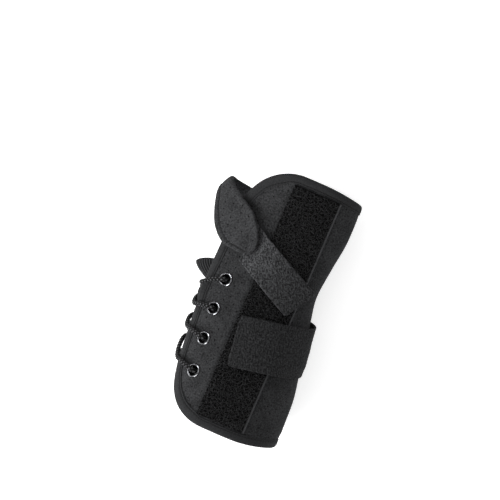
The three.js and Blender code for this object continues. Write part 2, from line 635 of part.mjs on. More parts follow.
// The lace runs from one flap to the other, over or under each edge, and passes its neighbour between them.
function crossing(from, to) {
  const leavesOver = from.way === "out";
  const arrivesOver = to.way === "in";
  const dorsalOver = from.row === "dorsal" ? leavesOver : arrivesOver;
  const between = dorsalOver ? LACE_CROSS_OVER : LACE_CROSS_UNDER;
  const barHeight = leavesOver ? LACE_BAR : LACE_UNDER;
  const middleHeight = leavesOver === arrivesOver ? barHeight : between;
  const { drift, sweep } = from.row === "dorsal" ? from : to;
  const loose = dorsalOver ? 1 : 0;
  const shifts = [drift * LACE_RUN_SHARE, drift, sweep, sweep, sweep * LACE_RUN_SHARE];
  if (to.row === "dorsal") shifts.reverse();
  const open = openWidth((from.y + to.y) / 2);
  const clearOf = (stop) => (stop.row === "dorsal" ? LACE_CLEAR : open - LACE_CLEAR);
  const leaveAt = clearOf(from);
  const arriveAt = clearOf(to);
  const runOf = (stop, edge) => lerp(stop.past, edge, LACE_RUN_SHARE);
  const pasts = [runOf(from, leaveAt), leaveAt, (leaveAt + arriveAt) / 2, arriveAt, runOf(to, arriveAt)];
  const startHeight = leavesOver ? LACE_OVER : LACE_UNDER;
  const endHeight = arrivesOver ? LACE_OVER : LACE_UNDER;
  const heights = [startHeight, startHeight, middleHeight, endHeight, endHeight];
  return pasts.map((past, index) => {
    const straight = lerp(from.y, to.y, (past - from.past) / (to.past - from.past));
    return { past, y: straight + shifts[index] * loose, height: heights[index] };
  });
}

// Curve whose even steps follow its own points, so that the tight turns get as many as the long runs.
class RouteCurve extends THREE.CatmullRomCurve3 {
  getPointAt(u, target) {
    return this.getPoint(u, target);
  }

  getTangentAt(u, target) {
    return this.getTangent(u, target);
  }
}

function laceGeometry() {
  const route = laceRoute();
  const outline = new THREE.Shape(range(LACE_SIDES).map((side) => {
    const angle = (side / LACE_SIDES) * 2 * Math.PI;
    return new THREE.Vector2(LACE_RADIUS * Math.cos(angle), LACE_RADIUS * Math.sin(angle));
  }));
  return new THREE.ExtrudeGeometry(outline, {
    steps: Math.round((route.length - 1) * LACE_STEPS_PER_POINT),
    bevelEnabled: false,
    extrudePath: new RouteCurve(route),
  });
}

// Finishes
const laminate = new THREE.MeshStandardMaterial({ color: 0x2c2d30, roughness: 0.9, metalness: 0 });
const tape = new THREE.MeshStandardMaterial({ color: 0x242528, roughness: 0.8, metalness: 0 });
const pile = new THREE.MeshStandardMaterial({ color: 0x101012, roughness: 1, metalness: 0 });
const webbing = new THREE.MeshStandardMaterial({ color: 0x323336, roughness: 0.85, metalness: 0 });
const ribbedCloth = new THREE.MeshStandardMaterial({ color: 0x1c1d20, roughness: 0.9, metalness: 0 });
const braid = new THREE.MeshStandardMaterial({ color: 0x18181a, roughness: 0.7, metalness: 0 });
const nickel = new THREE.MeshStandardMaterial({ color: 0xc8cacc, roughness: 0.25, metalness: 1 });

const wristSupport = new THREE.Group();

function addPiece(name, geometry, material) {
  const mesh = new THREE.Mesh(geometry, material);
  mesh.name = name;
  wristSupport.add(mesh);
}

addPiece("shell", shellGeometry(), laminate);
addPiece("edge_binding", bindingGeometry(), tape);
addPiece("pile_strip", pileGeometry(), pile);
addPiece("forearm_strap", forearmStrapGeometry(), webbing);
addPiece("thumb_strap", thumbStrapGeometry(), webbing);
addPiece("thumb_tab", tabGeometry(), laminate);
addPiece("tongue", tongueGeometry(), ribbedCloth);
addPiece("lace", laceGeometry(), braid);
for (const place of EYELET_PLACES) {
  addPiece(`eyelet_${place.row}_${place.number}`, eyeletGeometry(place), nickel);
}

// The origin is the middle of the floor under the whole piece.
const bounds = new THREE.Box3().setFromObject(wristSupport);
const centre = bounds.getCenter(new THREE.Vector3());
wristSupport.position.set(-centre.x, -centre.y, -bounds.min.z);

export default wristSupport;
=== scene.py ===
"""Laced wrist support, right-sided, lying on its palmar side.

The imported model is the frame: +X ulnar, +Y distal along the pile strip, +Z dorsal and up. The cloth,
pile, cord and metal are built in millimetres on the unrolled wrap and laid on its form.
"""

import logging
import math
from abc import ABC, abstractmethod
from dataclasses import dataclass, field
from enum import Enum
from typing import NamedTuple

import bpy
import numpy as np
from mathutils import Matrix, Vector

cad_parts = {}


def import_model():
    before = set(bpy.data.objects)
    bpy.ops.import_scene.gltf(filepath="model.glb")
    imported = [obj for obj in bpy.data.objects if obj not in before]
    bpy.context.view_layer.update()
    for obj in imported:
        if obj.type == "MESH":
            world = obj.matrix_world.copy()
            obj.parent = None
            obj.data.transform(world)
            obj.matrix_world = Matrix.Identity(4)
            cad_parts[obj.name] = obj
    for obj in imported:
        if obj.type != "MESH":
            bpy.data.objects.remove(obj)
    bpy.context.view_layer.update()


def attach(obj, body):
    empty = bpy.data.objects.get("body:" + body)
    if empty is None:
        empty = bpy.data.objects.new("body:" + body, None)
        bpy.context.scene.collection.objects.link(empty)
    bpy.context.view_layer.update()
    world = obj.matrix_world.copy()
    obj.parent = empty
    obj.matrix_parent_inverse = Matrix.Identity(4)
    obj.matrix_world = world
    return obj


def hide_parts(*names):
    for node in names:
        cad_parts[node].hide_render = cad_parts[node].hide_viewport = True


LOG = logging.getLogger("wrist_support")
Array = np.ndarray
Socket = bpy.types.NodeSocket
Material = bpy.types.Material
Piece = bpy.types.Object
Triple = tuple[float, float, float]

MILLIMETRE = 0.001
BODY = "root"
# The frame's origin is the middle of the floor under the whole piece, so the form is moved by this much.
FORM_TO_FRAME = np.array([-0.6296, 0.9145, 0.0])
ULNAR, DISTAL, UP = np.eye(3)
# Cloth that lies on other cloth keeps this gap.
SEAM_GAP = 0.4
COOL_GREY = (1.0, 1.015, 1.06, 1.0)
BLACK = (0.0, 0.0, 0.0, 1.0)
WHITE = (1.0, 1.0, 1.0, 1.0)
FUZZ = 0.012
# Sockets of a colour mix go by number, because their names repeat.
MIX_SHARE, MIX_FIRST, MIX_SECOND, MIX_RESULT = 0, 6, 7, 2
TINY = 1e-6
NO_LENGTH = 1e-12
# A place on a row of steps stays this far before their count, so that one step always follows it.
LAST_STEP = 1.001
ROUND_POINTS = 6
SWELL_WAVES = 7
SWELL_LENGTHS = (0.7, 1.7)
STITCH_POINTS = 5
THREAD_SIDES = 5
# A tube that stands steeper than this is turned by the ulnar direction, any other by the upright.
STEEP = 0.9
TUBE_SEED = 11
TUBE_GRAIN = 40.0
TUBE_STEP = 0.4


class Slot(Enum):
    """Material slots of the record."""

    LAMINATE = "laminate"
    TAPE = "tape"
    PILE = "pile"
    WEBBING = "webbing"
    RIBBED = "ribbed_cloth"
    BRAID = "braid"
    NICKEL = "nickel"


class Hold(Enum):
    """Ways in which a sheet of cloth is held."""

    LAID = "laid"
    FOLDED = "folded"
    STRETCHED = "stretched"


class EyeletRow(Enum):
    """The two rows of eyelets."""

    DORSAL = "dorsal"
    PALMAR = "palmar"


class Way(Enum):
    """Way in which the lace passes an eyelet."""

    OUT = "out"
    IN = "in"


class Step(Enum):
    """Steps of arithmetic in a node tree."""

    ADD = "ADD"
    MULTIPLY = "MULTIPLY"
    MINIMUM = "MINIMUM"
    MAXIMUM = "MAXIMUM"


class SectionRow(NamedTuple):
    """One cross-section of the outer form: its sides, its dorsal ridge and its lowest height."""

    y: float
    radial: float
    radial_z: float
    ulnar: float
    ulnar_z: float
    ridge_x: float
    ridge: float
    palmar: float


class FlapRow(NamedTuple):
    """Edge of the dorsal flap at one level, and the open width from it to the palmar edge."""

    y: float
    edge_x: float
    gap: float


class TabRow(NamedTuple):
    """One station of the thumb tab: its near (bound) edge, its far edge and the lift of its middle."""

    near: Triple
    far: Triple
    crown: float


class EyeletPlan(NamedTuple):
    """One pair of eyelets: plan place of the dorsal one and level of the palmar one."""

    dorsal_x: float
    dorsal_y: float
    palmar_y: float


class LacePass(NamedTuple):
    """One pass of the lace through an eyelet: its drift along the dorsal edge, and its sweep past it."""

    row: EyeletRow
    number: int
    way: Way
    drift: float
    sweep: float


class LightRow(NamedTuple):
    """One square soft light: watts, metres, direction in plan and rise in degrees, on metal or on cloth."""

    name: str
    power: float
    size: float
    turn: float
    rise: float
    on_metal: bool


SECTIONS = tuple(SectionRow(*row) for row in (
    (-104, -33.5, 31.0, 56.2, 31, 17, 68.0, 5.2),
    (-90, -34.2, 31.5, 56.8, 30, 16, 67.0, 3.0),
    (-80, -34.6, 32.0, 57.5, 29, 16, 66.0, -0.6),
    (-60, -35.8, 32.0, 56.3, 28, 15, 63.5, -1.6),
    (-40, -37.6, 31.0, 53.4, 26, 14, 60.0, -1.6),
    (-20, -39.4, 30.0, 49.4, 25, 13, 56.5, -1.6),
    (0, -41.0, 28.5, 45.2, 24, 12, 53.0, -1.6),
    (20, -42.0, 28.0, 42.2, 24, 11, 51.0, -0.6),
    (45, -43.0, 28.5, 44.3, 25, 9, 51.0, 2.6),
    (70, -44.0, 30.0, 47.2, 28, 8, 53.5, 6.8),
    (104, -44.0, 34.0, 45.0, 34, 8, 58.5, 14.5),
))

FLAPS = tuple(FlapRow(*row) for row in (
    (-104, -31.5, 34),
    (-86, -32.2, 28),
    (-72, -32.8, 24),
    (-60, -33.8, 22),
    (-25, -37.1, 21),
    (0, -38.8, 22),
    (16, -38.8, 30),
    (32, -38.5, 40),
    (48, -38.0, 45),
    (62, -37.0, 45),
    (75, -36.0, 43),
    (104, -35.0, 42),
))

TAB_STATIONS = tuple(TabRow(*row) for row in (
    ((-12.0, 55.0, 2.6), (-13.0, 73.0, 5.4), 0.0),
    ((-23.0, 55.0, 4.2), (-23.0, 74.4, 7.0), 0.0),
    ((-36.0, 55.5, 7.4), (-34.5, 76.0, 10.6), 0.2),
    ((-47.2, 60.0, 13.4), (-44.5, 77.2, 16.4), 0.6),
    ((-54.8, 66.0, 21.5), (-49.6, 78.0, 24.5), 1.0),
    ((-55.8, 62.6, 30.0), (-48.8, 75.4, 34.0), 1.4),
    ((-52.9, 50.0, 36.8), (-40.0, 68.0, 43.0), 1.4),
    ((-47.6, 38.6, 40.8), (-26.8, 60.0, 50.0), 1.2),
    ((-38.4, 30.2, 43.6), (-17.4, 49.0, 52.4), 0.8),
    ((-28.0, 28.4, 47.9), (-13.6, 38.4, 52.6), 0.4),
    ((-19.4, 27.6, 50.7), (-14.2, 31.4, 52.3), 0.1),
))

EYELETS = tuple(EyeletPlan(*row) for row in (
    (-25.1, 5.8, -11),
    (-25.0, -17.2, -27),
    (-23.0, -40.1, -45),
    (-20.4, -64.7, -66),
))

LACE_PASSES = tuple(LacePass(*row) for row in (
    (EyeletRow.DORSAL, 4, Way.OUT, -2.0, 9.5),
    (EyeletRow.PALMAR, 3, Way.OUT, 0.0, 0.0),
    (EyeletRow.DORSAL, 2, Way.OUT, -4.0, 0.8),
    (EyeletRow.PALMAR, 1, Way.OUT, 0.0, 0.0),
    (EyeletRow.DORSAL, 1, Way.IN, -2.4, 0.0),
    (EyeletRow.PALMAR, 2, Way.IN, 0.0, 0.0),
    (EyeletRow.DORSAL, 3, Way.IN, -0.5, 5.0),
    (EyeletRow.PALMAR, 4, Way.IN, 0.0, 0.0),
))

LIGHTS = (
    LightRow("key_softbox", 66.0, 1.3, -137.0309, 20.0, on_metal=False),
    LightRow("bounce_card_1", 48.0, 1.15, 108.0, 35.0, on_metal=True),
    LightRow("bounce_card_2", 48.0, 1.15, 290.0, 35.0, on_metal=True),
)


def smooth(x: Array, low: float | Array, high: float | Array) -> Array:
    """Ease from 0 at low to 1 at high."""
    t = np.clip((np.asarray(x, dtype=float) - low) / (high - low), 0.0, 1.0)
    return t * t * (3.0 - 2.0 * t)


def mix(a: float | Array, b: float | Array, t: float | Array) -> Array:
    """Straight mix of a and b."""
    return a + (b - a) * t


def unit(vectors: Array) -> Array:
    """Vectors brought to length 1."""
    return vectors / np.maximum(np.linalg.norm(vectors, axis=-1, keepdims=True), NO_LENGTH)


def bell(distance: Array, width: float) -> Array:
    """Bell curve, 1 at no distance."""
    return np.exp(-((distance / width) ** 2))


def step_before(place: Array, count: int) -> tuple[Array, Array]:
    """Index of the last of so many equal steps before each place, and the share of the way to the next."""
    inside = np.clip(place, 0.0, count - LAST_STEP)
    return inside.astype(int), inside % 1.0


def table_curve(rows: tuple[NamedTuple, ...], column: str, y: Array) -> Array:
    """Smooth curve through one column of a table whose rows are sorted by y.

    Args:
        rows: The table.
        column: Name of the column to read.
        y: Levels at which the curve is wanted.

    Returns:
        The values at those levels.
    """
    levels = np.array([row.y for row in rows], dtype=float)
    values = np.array([getattr(row, column) for row in rows], dtype=float)
    before = np.maximum(np.arange(len(rows)) - 1, 0)
    after = np.minimum(np.arange(len(rows)) + 1, len(rows) - 1)
    slopes = (values[after] - values[before]) / (levels[after] - levels[before])
    y = np.asarray(y, dtype=float)
    index = np.clip(np.searchsorted(levels, y) - 1, 0, len(rows) - 2)
    span = levels[index + 1] - levels[index]
    t = (y - levels[index]) / span
    leave = t * (1 - t) ** 2 * span * slopes[index]
    arrive = t * t * (t - 1) * span * slopes[index + 1]
    return mix(values[index], values[index + 1], t * t * (3 - 2 * t)) + leave + arrive


def round_curve(points: Array, t: Array) -> Array:
    """Centripetal curve through points, by share of their count.

    Args:
        points: The points, one row each.
        t: Shares from 0 at the first point to 1 at the last.

    Returns:
        One point for each share.
    """
    ends = np.vstack([2 * points[:1] - points[1:2], points, 2 * points[-1:] - points[-2:-1]])
    place = np.clip(np.asarray(t, dtype=float), 0.0, 1.0) * (len(points) - 1)
    index = np.minimum(place.astype(int), len(points) - 2)
    weight = (place - index)[:, None]
    p0, p1, p2, p3 = (ends[index + offset] for offset in range(4))

    def knot(a: Array, b: Array) -> Array:
        """Square root of the distance between two rows of points."""
        return np.sqrt(np.linalg.norm(b - a, axis=1, keepdims=True))

    d0, d1, d2 = knot(p0, p1), knot(p1, p2), knot(p2, p3)
    t1 = ((p1 - p0) / d0 - (p2 - p0) / (d0 + d1) + (p2 - p1) / d1) * d1
    t2 = ((p2 - p1) / d1 - (p3 - p1) / (d1 + d2) + (p3 - p2) / d2) * d1
    c2 = 3 * (p2 - p1) - 2 * t1 - t2
    c3 = 2 * (p1 - p2) + t1 + t2
    return p1 + weight * (t1 + weight * (c2 + weight * c3))


def run_lengths(points: Array) -> Array:
    """Running length along a line of points, or along each row of a grid of them, from 0."""
    steps = np.linalg.norm(np.diff(points, axis=-2), axis=-1)
    return np.concatenate([np.zeros_like(steps[..., :1]), np.cumsum(steps, axis=-1)], axis=-1)


def along_line(line: Array, lengths: Array, wanted: float | Array) -> Array:
    """Points of a line at wanted running lengths."""
    return np.stack([np.interp(wanted, lengths, column) for column in line.T], axis=-1)


def ring_angles(sides: int) -> Array:
    """Angles of the points of a ring."""
    return np.arange(sides) * 2 * math.pi / sides


def spokes(angles: Array, east: Array, north: Array) -> Array:
    """Directions at angles from east to north, which take the last axis but one."""
    return np.cos(angles)[:, None] * east[..., None, :] + np.sin(angles)[:, None] * north[..., None, :]


def pattern_grid(*coordinates: float | Array) -> Array:
    """Pattern coordinates brought to one shape, with 3 as the last axis."""
    return np.stack(np.broadcast_arrays(*coordinates), axis=-1)


def even_steps(low: float, high: float, step: float) -> Array:
    """Evenly spaced values from low to high, about a step apart."""
    return np.linspace(low, high, max(2, int(round((high - low) / step)) + 1))


def edge_steps(width: float, step: float, rounding: float) -> Array:
    """Places across a strip, close together at both edges where it is rounded.

    Args:
        width: Width of the strip.
        step: Spacing in the middle.
        rounding: Radius of the rounded edge.

    Returns:
        Distances from one edge, from 0 to the width.
    """
    turn = rounding * (1 - np.cos(np.linspace(0.0, math.pi / 2, ROUND_POINTS)))
    middle = even_steps(rounding, width - rounding, step)
    return np.concatenate([turn[:-1], middle, width - turn[-2::-1]])


def edge_drop(distance: Array, rounding: float) -> Array:
    """How far a rounded edge falls off, at a distance from it."""
    left = np.clip(1 - distance / rounding, 0.0, 1.0)
    return rounding * (1 - np.sqrt(1 - left * left))


def corner_inset(distance: Array, radius: float) -> Array:
    """How far a rounded corner draws an edge in, at a distance from the end."""
    left = radius - np.clip(distance, 0.0, radius)
    return radius - np.sqrt(radius * radius - left * left)


def uneven(a: Array, b: Array, wavelength: float, seed: int) -> Array:
    """Soft unevenness of cloth over its pattern, about -1 to 1.

    Args:
        a: First pattern coordinate in millimetres.
        b: Second pattern coordinate.
        wavelength: Usual distance between two swells.
        seed: Seed of the random waves.

    Returns:
        The height of the swell at each place.
    """
    rng = np.random.default_rng(seed)
    total = np.zeros(np.broadcast(a, b).shape)
    turns = rng.uniform(0, math.pi, SWELL_WAVES)
    lengths = rng.uniform(*SWELL_LENGTHS, SWELL_WAVES)
    phases = rng.uniform(0, 2 * math.pi, SWELL_WAVES)
    for turn, length, phase in zip(turns, lengths, phases):
        pull = (a * math.cos(turn) + b * math.sin(turn)) * 2 * math.pi / (wavelength * length)
        total = total + np.sin(pull + phase)
    return total / math.sqrt(2 * SWELL_WAVES)


def grid_normals(grid: Array) -> Array:
    """Normals of a grid of points, on the side from which its columns and rows turn to the left."""
    across, along = np.gradient(grid, axis=(1, 0))
    return unit(np.cross(across, along))


@dataclass
class MeshDraft:
    """Points, faces and pattern coordinates of one piece while it is put together, in millimetres."""

    points: list[Array] = field(default_factory=list)
    cloth: list[Array] = field(default_factory=list)
    faces: list[Array] = field(default_factory=list)
    count: int = 0

    def add(self, points: Array, cloth: Array, faces: list[Array]) -> None:
        """Add points with their pattern coordinates, and faces that count from the first of them.

        Args:
            points: Points, one row each.
            cloth: Their pattern coordinates, one row each.
            faces: Arrays of triangles or quads.
        """
        self.points.append(points.reshape(-1, 3))
        self.cloth.append(cloth.reshape(-1, 3))
        self.faces.extend(part + self.count for part in faces if len(part))
        self.count += len(self.points[-1])

    def add_sheet(self, outer: Array, inner: Array, cloth: Array, keep: Array | None = None) -> None:
        """Add a closed sheet over a grid, with walls round its edge and its holes.

        Args:
            outer: Grid of points of the outer face, rows by columns.
            inner: Grid of points of the inner face.
            cloth: Pattern coordinates of the grid.
            keep: Which cells of the grid are cloth, all of them if left out.
        """
        rows, columns = outer.shape[:2]
        if keep is None:
            keep = np.ones((rows - 1, columns - 1), dtype=bool)
        index = np.arange(rows * columns).reshape(rows, columns)
        a, b, c, d = index[:-1, :-1], index[:-1, 1:], index[1:, 1:], index[1:, :-1]
        under = rows * columns
        faces = [np.stack([a, b, c, d], axis=-1)[keep], np.stack([d, c, b, a], axis=-1)[keep] + under]
        padded = np.pad(keep, 1)
        besides = (padded[:-2, 1:-1], padded[1:-1, 2:], padded[2:, 1:-1], padded[1:-1, :-2])
        for beside, start, end in zip(besides, (a, b, c, d), (b, c, d, a)):
            edge = keep & ~beside
            start, end = start[edge], end[edge]
            faces.append(np.stack([end, start, start + under, end + under], axis=-1))
        used = np.unique(np.concatenate([part.ravel() for part in faces]))
        renumber = np.zeros(2 * under, dtype=int)
        renumber[used] = np.arange(len(used))
        points = np.concatenate([outer.reshape(-1, 3), inner.reshape(-1, 3)])[used]
        pattern = np.concatenate([cloth.reshape(-1, 3)] * 2)[used]
        self.add(points, pattern, [renumber[part] for part in faces])

    def add_rings(self, rings: Array, cloth: Array, closed: bool) -> None:
        """Add a tube through equal rings of points, capped at both ends unless it is closed.

        Args:
            rings: Rings by points by 3, each ring turning left as seen from the next one.
            cloth: Pattern coordinates of those points.
            closed: Whether the last ring joins the first.
        """
        count, size = rings.shape[:2]
        index = np.arange(count * size).reshape(count, size)
        here = index if closed else index[:-1]
        there = np.roll(index, -1, axis=0) if closed else index[1:]
        quads = np.stack([here, np.roll(here, -1, axis=1), np.roll(there, -1, axis=1), there], axis=-1)
        faces = [quads.reshape(-1, 4)]
        if not closed:
            faces.append(index[0][::-1][None, :])
            faces.append(index[-1][None, :])
        self.add(rings, cloth, faces)

    def to_object(self, name: str, finish: Material) -> Piece:
        """Make the Blender object, in metres in the frame.

        Args:
            name: Name of the piece.
            finish: Its material.

        Returns:
            The new object, linked to the scene.
        """
        points = (np.concatenate(self.points) + FORM_TO_FRAME) * MILLIMETRE
        # Cloth that meets the floor lies flat on it.
        points[:, 2] = np.maximum(points[:, 2], 0.0)
        corners = np.concatenate([part.ravel() for part in self.faces])
        sizes = np.concatenate([np.full(len(part), part.shape[1]) for part in self.faces])
        starts = np.concatenate([[0], np.cumsum(sizes)[:-1]])
        mesh = bpy.data.meshes.new(name)
        mesh.vertices.add(len(points))
        mesh.vertices.foreach_set("co", points.astype(np.float32).ravel())
        mesh.loops.add(len(corners))
        mesh.loops.foreach_set("vertex_index", corners.astype(np.int32))
        mesh.polygons.add(len(sizes))
        mesh.polygons.foreach_set("loop_start", starts.astype(np.int32))
        pattern = mesh.attributes.new("cloth", "FLOAT_VECTOR", "POINT")
        pattern.data.foreach_set("vector", np.concatenate(self.cloth).astype(np.float32).ravel())
        mesh.update(calc_edges=True)
        mesh.shade_smooth()
        mesh.materials.append(finish)
        piece = bpy.data.objects.new(name, mesh)
        bpy.context.scene.collection.objects.link(piece)
        return piece


def place_piece(draft: MeshDraft, name: str, finish: Material,
                stands_for: tuple[str, ...] = ()) -> Piece:
    """Make a piece, let it ride on the body, and hide the nodes that it stands for.

    Args:
        draft: The mesh of the piece.
        name: Name of the piece.
        finish: Its material.
        stands_for: Nodes of the frame that it replaces.

    Returns:
        The placed object.
    """
    piece = draft.to_object(name, finish)
    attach(piece, BODY)
    if stands_for:
        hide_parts(*stands_for)
    return piece


@dataclass
class NodeBoard:
    """Node tree of one material, with short calls for what the finishes share."""

    name: str

    def __post_init__(self) -> None:
        """Start a material with its shader."""
        self.material = bpy.data.materials.new(self.name)
        self.material.use_nodes = True
        self.tree = self.material.node_tree
        self.shader = next(node for node in self.tree.nodes if node.type == "BSDF_PRINCIPLED")

    def add(self, kind: str, inputs: dict[str | int, object], **settings: object) -> bpy.types.Node:
        """Add a node, set its properties and feed its inputs.

        Args:
            kind: Type name of the node.
            inputs: Outputs or plain values, by name or number of the input.
            settings: Properties by name.

        Returns:
            The new node.
        """
        node = self.tree.nodes.new(kind)
        for name, value in settings.items():
            setattr(node, name, value)
        for name, value in inputs.items():
            self.feed(node.inputs[name], value)
        return node

    def feed(self, socket: Socket, value: object) -> None:
        """Link an output to a socket, or set the socket to a plain value.

        Args:
            socket: The input to feed.
            value: An output, or a plain value.
        """
        if isinstance(value, Socket):
            self.tree.links.new(value, socket)
        else:
            socket.default_value = value

    def cloth(self, grain: Triple = (1.0, 1.0, 1.0), turn: float = 0.0,
              shift: Triple = (0.0, 0.0, 0.0)) -> Socket:
        """Pattern coordinates in millimetres, shifted, turned and counted in grains.

        Args:
            grain: Length of a grain along each coordinate.
            turn: Angle of the grain in the plane of the pattern, in degrees.
            shift: What is taken off before that.

        Returns:
            A vector output.
        """
        source = self.add("ShaderNodeAttribute", {}, attribute_name="cloth", attribute_type="GEOMETRY")
        inputs = {"Vector": source.outputs["Vector"], "Scale": grain, "Location": shift,
                  "Rotation": (0.0, 0.0, math.radians(turn))}
        return self.add("ShaderNodeMapping", inputs, vector_type="TEXTURE").outputs["Vector"]

    def third(self) -> Socket:
        """Third pattern coordinate, which some pieces use to mark their relief."""
        return self.add("ShaderNodeSeparateXYZ", {0: self.cloth()}).outputs["Z"]

    def noise(self, vector: Socket, scale: float, detail: float = 2.0, roughness: float = 0.5) -> Socket:
        """Noise over a vector, about 0 to 1, by grains to the millimetre and octaves of finer grain."""
        inputs = {"Vector": vector, "Scale": scale, "Detail": detail, "Roughness": roughness}
        return self.add("ShaderNodeTexNoise", inputs, noise_dimensions="3D").outputs["Fac"]

    def wave(self, vector: Socket, scale: float, distortion: float = 0.0) -> Socket:
        """Ribs across the first coordinate, 0 to 1, with so many to about 3 mm, which may waver."""
        inputs = {"Vector": vector, "Scale": scale, "Distortion": distortion}
        return self.add("ShaderNodeTexWave", inputs, wave_type="BANDS", bands_direction="X").outputs["Fac"]

    def spread(self, value: Socket, low: float = 0.0, high: float = 1.0, start: float = 0.0,
               end: float = 1.0) -> Socket:
        """Smooth step of a value from low to high, given as start to end."""
        inputs = {"Value": value, "From Min": low, "From Max": high, "To Min": start, "To Max": end}
        return self.add("ShaderNodeMapRange", inputs, interpolation_type="SMOOTHSTEP").outputs["Result"]

    def combine(self, step: Step, a: object, b: object) -> Socket:
        """One step of arithmetic on two outputs or numbers."""
        return self.add("ShaderNodeMath", {0: a, 1: b}, operation=step.value).outputs[0]

    def blend(self, *parts: tuple[Socket, float]) -> Socket:
        """Weighted sum of several values.

        Args:
            parts: Outputs with their weights.

        Returns:
            The sum.
        """
        total, *others = (self.combine(Step.MULTIPLY, value, weight) for value, weight in parts)
        for other in others:
            total = self.combine(Step.ADD, total, other)
        return total

    def bump(self, height: Socket, depth: float) -> None:
        """Raise the surface by a height of 0 to 1 times a depth in millimetres."""
        inputs = {"Strength": 1.0, "Distance": depth * MILLIMETRE, "Height": height}
        self.feed(self.shader.inputs["Normal"], self.add("ShaderNodeBump", inputs).outputs["Normal"])

    def gloss(self, roughness: float | Socket, sheen: float = 0.0, specular: float = 0.5,
              metallic: float = 0.0) -> None:
        """Set the shader's gloss.

        Args:
            roughness: Roughness, plain or from a node.
            sheen: Weight of the fuzz.
            specular: Level of the mirror-like part.
            metallic: 1 for metal.
        """
        names = ("Roughness", "Sheen Weight", "Specular IOR Level", "Metallic")
        for name, value in zip(names, (roughness, sheen, specular, metallic)):
            self.feed(self.shader.inputs[name], value)

    def paint(self, depth: Socket) -> None:
        """Set the base colour to a slightly cool grey of a depth from 0 to 1."""
        node = self.add("ShaderNodeMix", {MIX_SHARE: depth, MIX_FIRST: BLACK, MIX_SECOND: COOL_GREY},
                        data_type="RGBA")
        self.feed(self.shader.inputs["Base Color"], node.outputs[MIX_RESULT])


@dataclass(frozen=True)
class SuedeLaminate:
    """Suede-faced laminate with a short nap, and pin holes in staggered rows."""

    name: str = "suede_laminate"
    dark: float = 0.0092
    light: float = 0.032
    pitch: float = 8.4
    pin_radius: float = 0.52
    pin_blur: float = 0.4

    def material(self) -> Material:
        """Build the node tree of the cloth, whose pin holes are faint where the nap is rubbed over them.

        Returns:
            The material.
        """
        board = NodeBoard(self.name)
        nap = board.noise(board.cloth(), scale=0.8, detail=3.0, roughness=0.62)
        cloudy = board.noise(board.cloth(), scale=0.09)
        tone = board.blend((nap, 0.75), (cloudy, 0.25))
        depth = board.spread(tone, low=0.34, high=0.66, start=self.dark, end=self.light)
        pins = board.combine(Step.MINIMUM, self.pins(board, 0.0), self.pins(board, self.pitch / 2))
        edge = self.pin_radius / self.pitch
        face = board.spread(pins, low=edge * (1 - self.pin_blur), high=edge * (1 + self.pin_blur))
        patches = board.noise(board.cloth(), scale=0.11, detail=1.0)
        rubbed = board.spread(patches, low=0.4, high=0.62, start=0.12, end=0.75)
        board.paint(board.combine(Step.MULTIPLY, depth, board.combine(Step.MAXIMUM, face, rubbed)))
        board.bump(board.blend((nap, 1.0), (face, 2.0)), depth=0.2)
        board.gloss(roughness=0.95, sheen=FUZZ, specular=0.05)
        return board.material

    def pins(self, board: NodeBoard, shift: float) -> Socket:
        """Distance in pitches to the nearest pin hole of one grid, shifted along both coordinates."""
        vector = board.cloth((self.pitch,) * 3, shift=(shift, shift, 0.0))
        return board.add("ShaderNodeTexVoronoi", {"Vector": vector, "Scale": 1.0, "Randomness": 0.0},
                         voronoi_dimensions="2D", feature="F1").outputs["Distance"]


@dataclass(frozen=True)
class BindingTape:
    """Folded binding tape with a fine weave across it."""

    name: str = "binding_tape"
    dark: float = 0.0076
    light: float = 0.028
    # Grey of the painted shade in the seam's groove, as a share of the tape's own grey.
    groove: float = 0.15

    def material(self) -> Material:
        """Build the node tree of the tape; the third pattern coordinate is 1 in the groove of its seam,
        which is darkened as painted shade.

        Returns:
            The material.
        """
        board = NodeBoard(self.name)
        ribs = board.wave(board.cloth(), scale=0.42, distortion=0.6)
        grain = board.noise(board.cloth(), scale=0.9, detail=3.0, roughness=0.6)
        weave = board.blend((ribs, 0.35), (grain, 0.65))
        # Painted shade darkens the seam's groove.
        shade = board.spread(board.third(), start=1.0, end=self.groove)
        depth = board.spread(weave, low=0.3, high=0.7, start=self.dark, end=self.light)
        board.paint(board.combine(Step.MULTIPLY, depth, shade))
        board.bump(weave, depth=0.16)
        board.gloss(roughness=0.92, sheen=FUZZ, specular=0.06)
        return board.material


@dataclass(frozen=True)
class BrushedWebbing:
    """Webbing whose loops are brushed up into a speckled face that lies one way."""

    name: str
    dark: float
    light: float
    lie: float
    painted_sheen: float = 1.35

    def material(self) -> Material:
        """Build the node tree; the third pattern coordinate is 1 where a painted sheen makes the face
        palest.

        Returns:
            The material.
        """
        board = NodeBoard(self.name)
        streak = board.noise(board.cloth((2.6, 1.0, 1.0), self.lie), scale=1.05, detail=2.5, roughness=0.65)
        speckle = board.noise(board.cloth(), scale=0.85, detail=2.0, roughness=0.7)
        tone = board.blend((streak, 0.5), (speckle, 0.5))
        # Painted sheen: the colour is made paler toward where the third pattern coordinate is 1.
        paler = board.spread(board.third(), start=1.0, end=self.painted_sheen)
        depth = board.spread(tone, low=0.38, high=0.64, start=self.dark, end=self.light)
        board.paint(board.combine(Step.MULTIPLY, depth, paler))
        board.bump(tone, depth=0.5)
        board.gloss(roughness=0.92, sheen=FUZZ, specular=0.06)
        return board.material


@dataclass(frozen=True)
class LoopPile:
    """Black yarn of the loop pile, a little different from loop to loop."""

    name: str = "loop_pile"
    dark: float = 0.0017
    light: float = 0.0245

    def material(self) -> Material:
        """Build the node tree of the yarn.

        Returns:
            The material.
        """
        board = NodeBoard(self.name)
        tone = board.noise(board.cloth(), scale=0.8)
        board.paint(board.spread(tone, low=0.38, high=0.68, start=self.dark, end=self.light))
        board.bump(board.noise(board.cloth(), scale=5.0, detail=1.0), depth=0.08)
        board.gloss(roughness=0.75, sheen=FUZZ, specular=0.12)
        return board.material


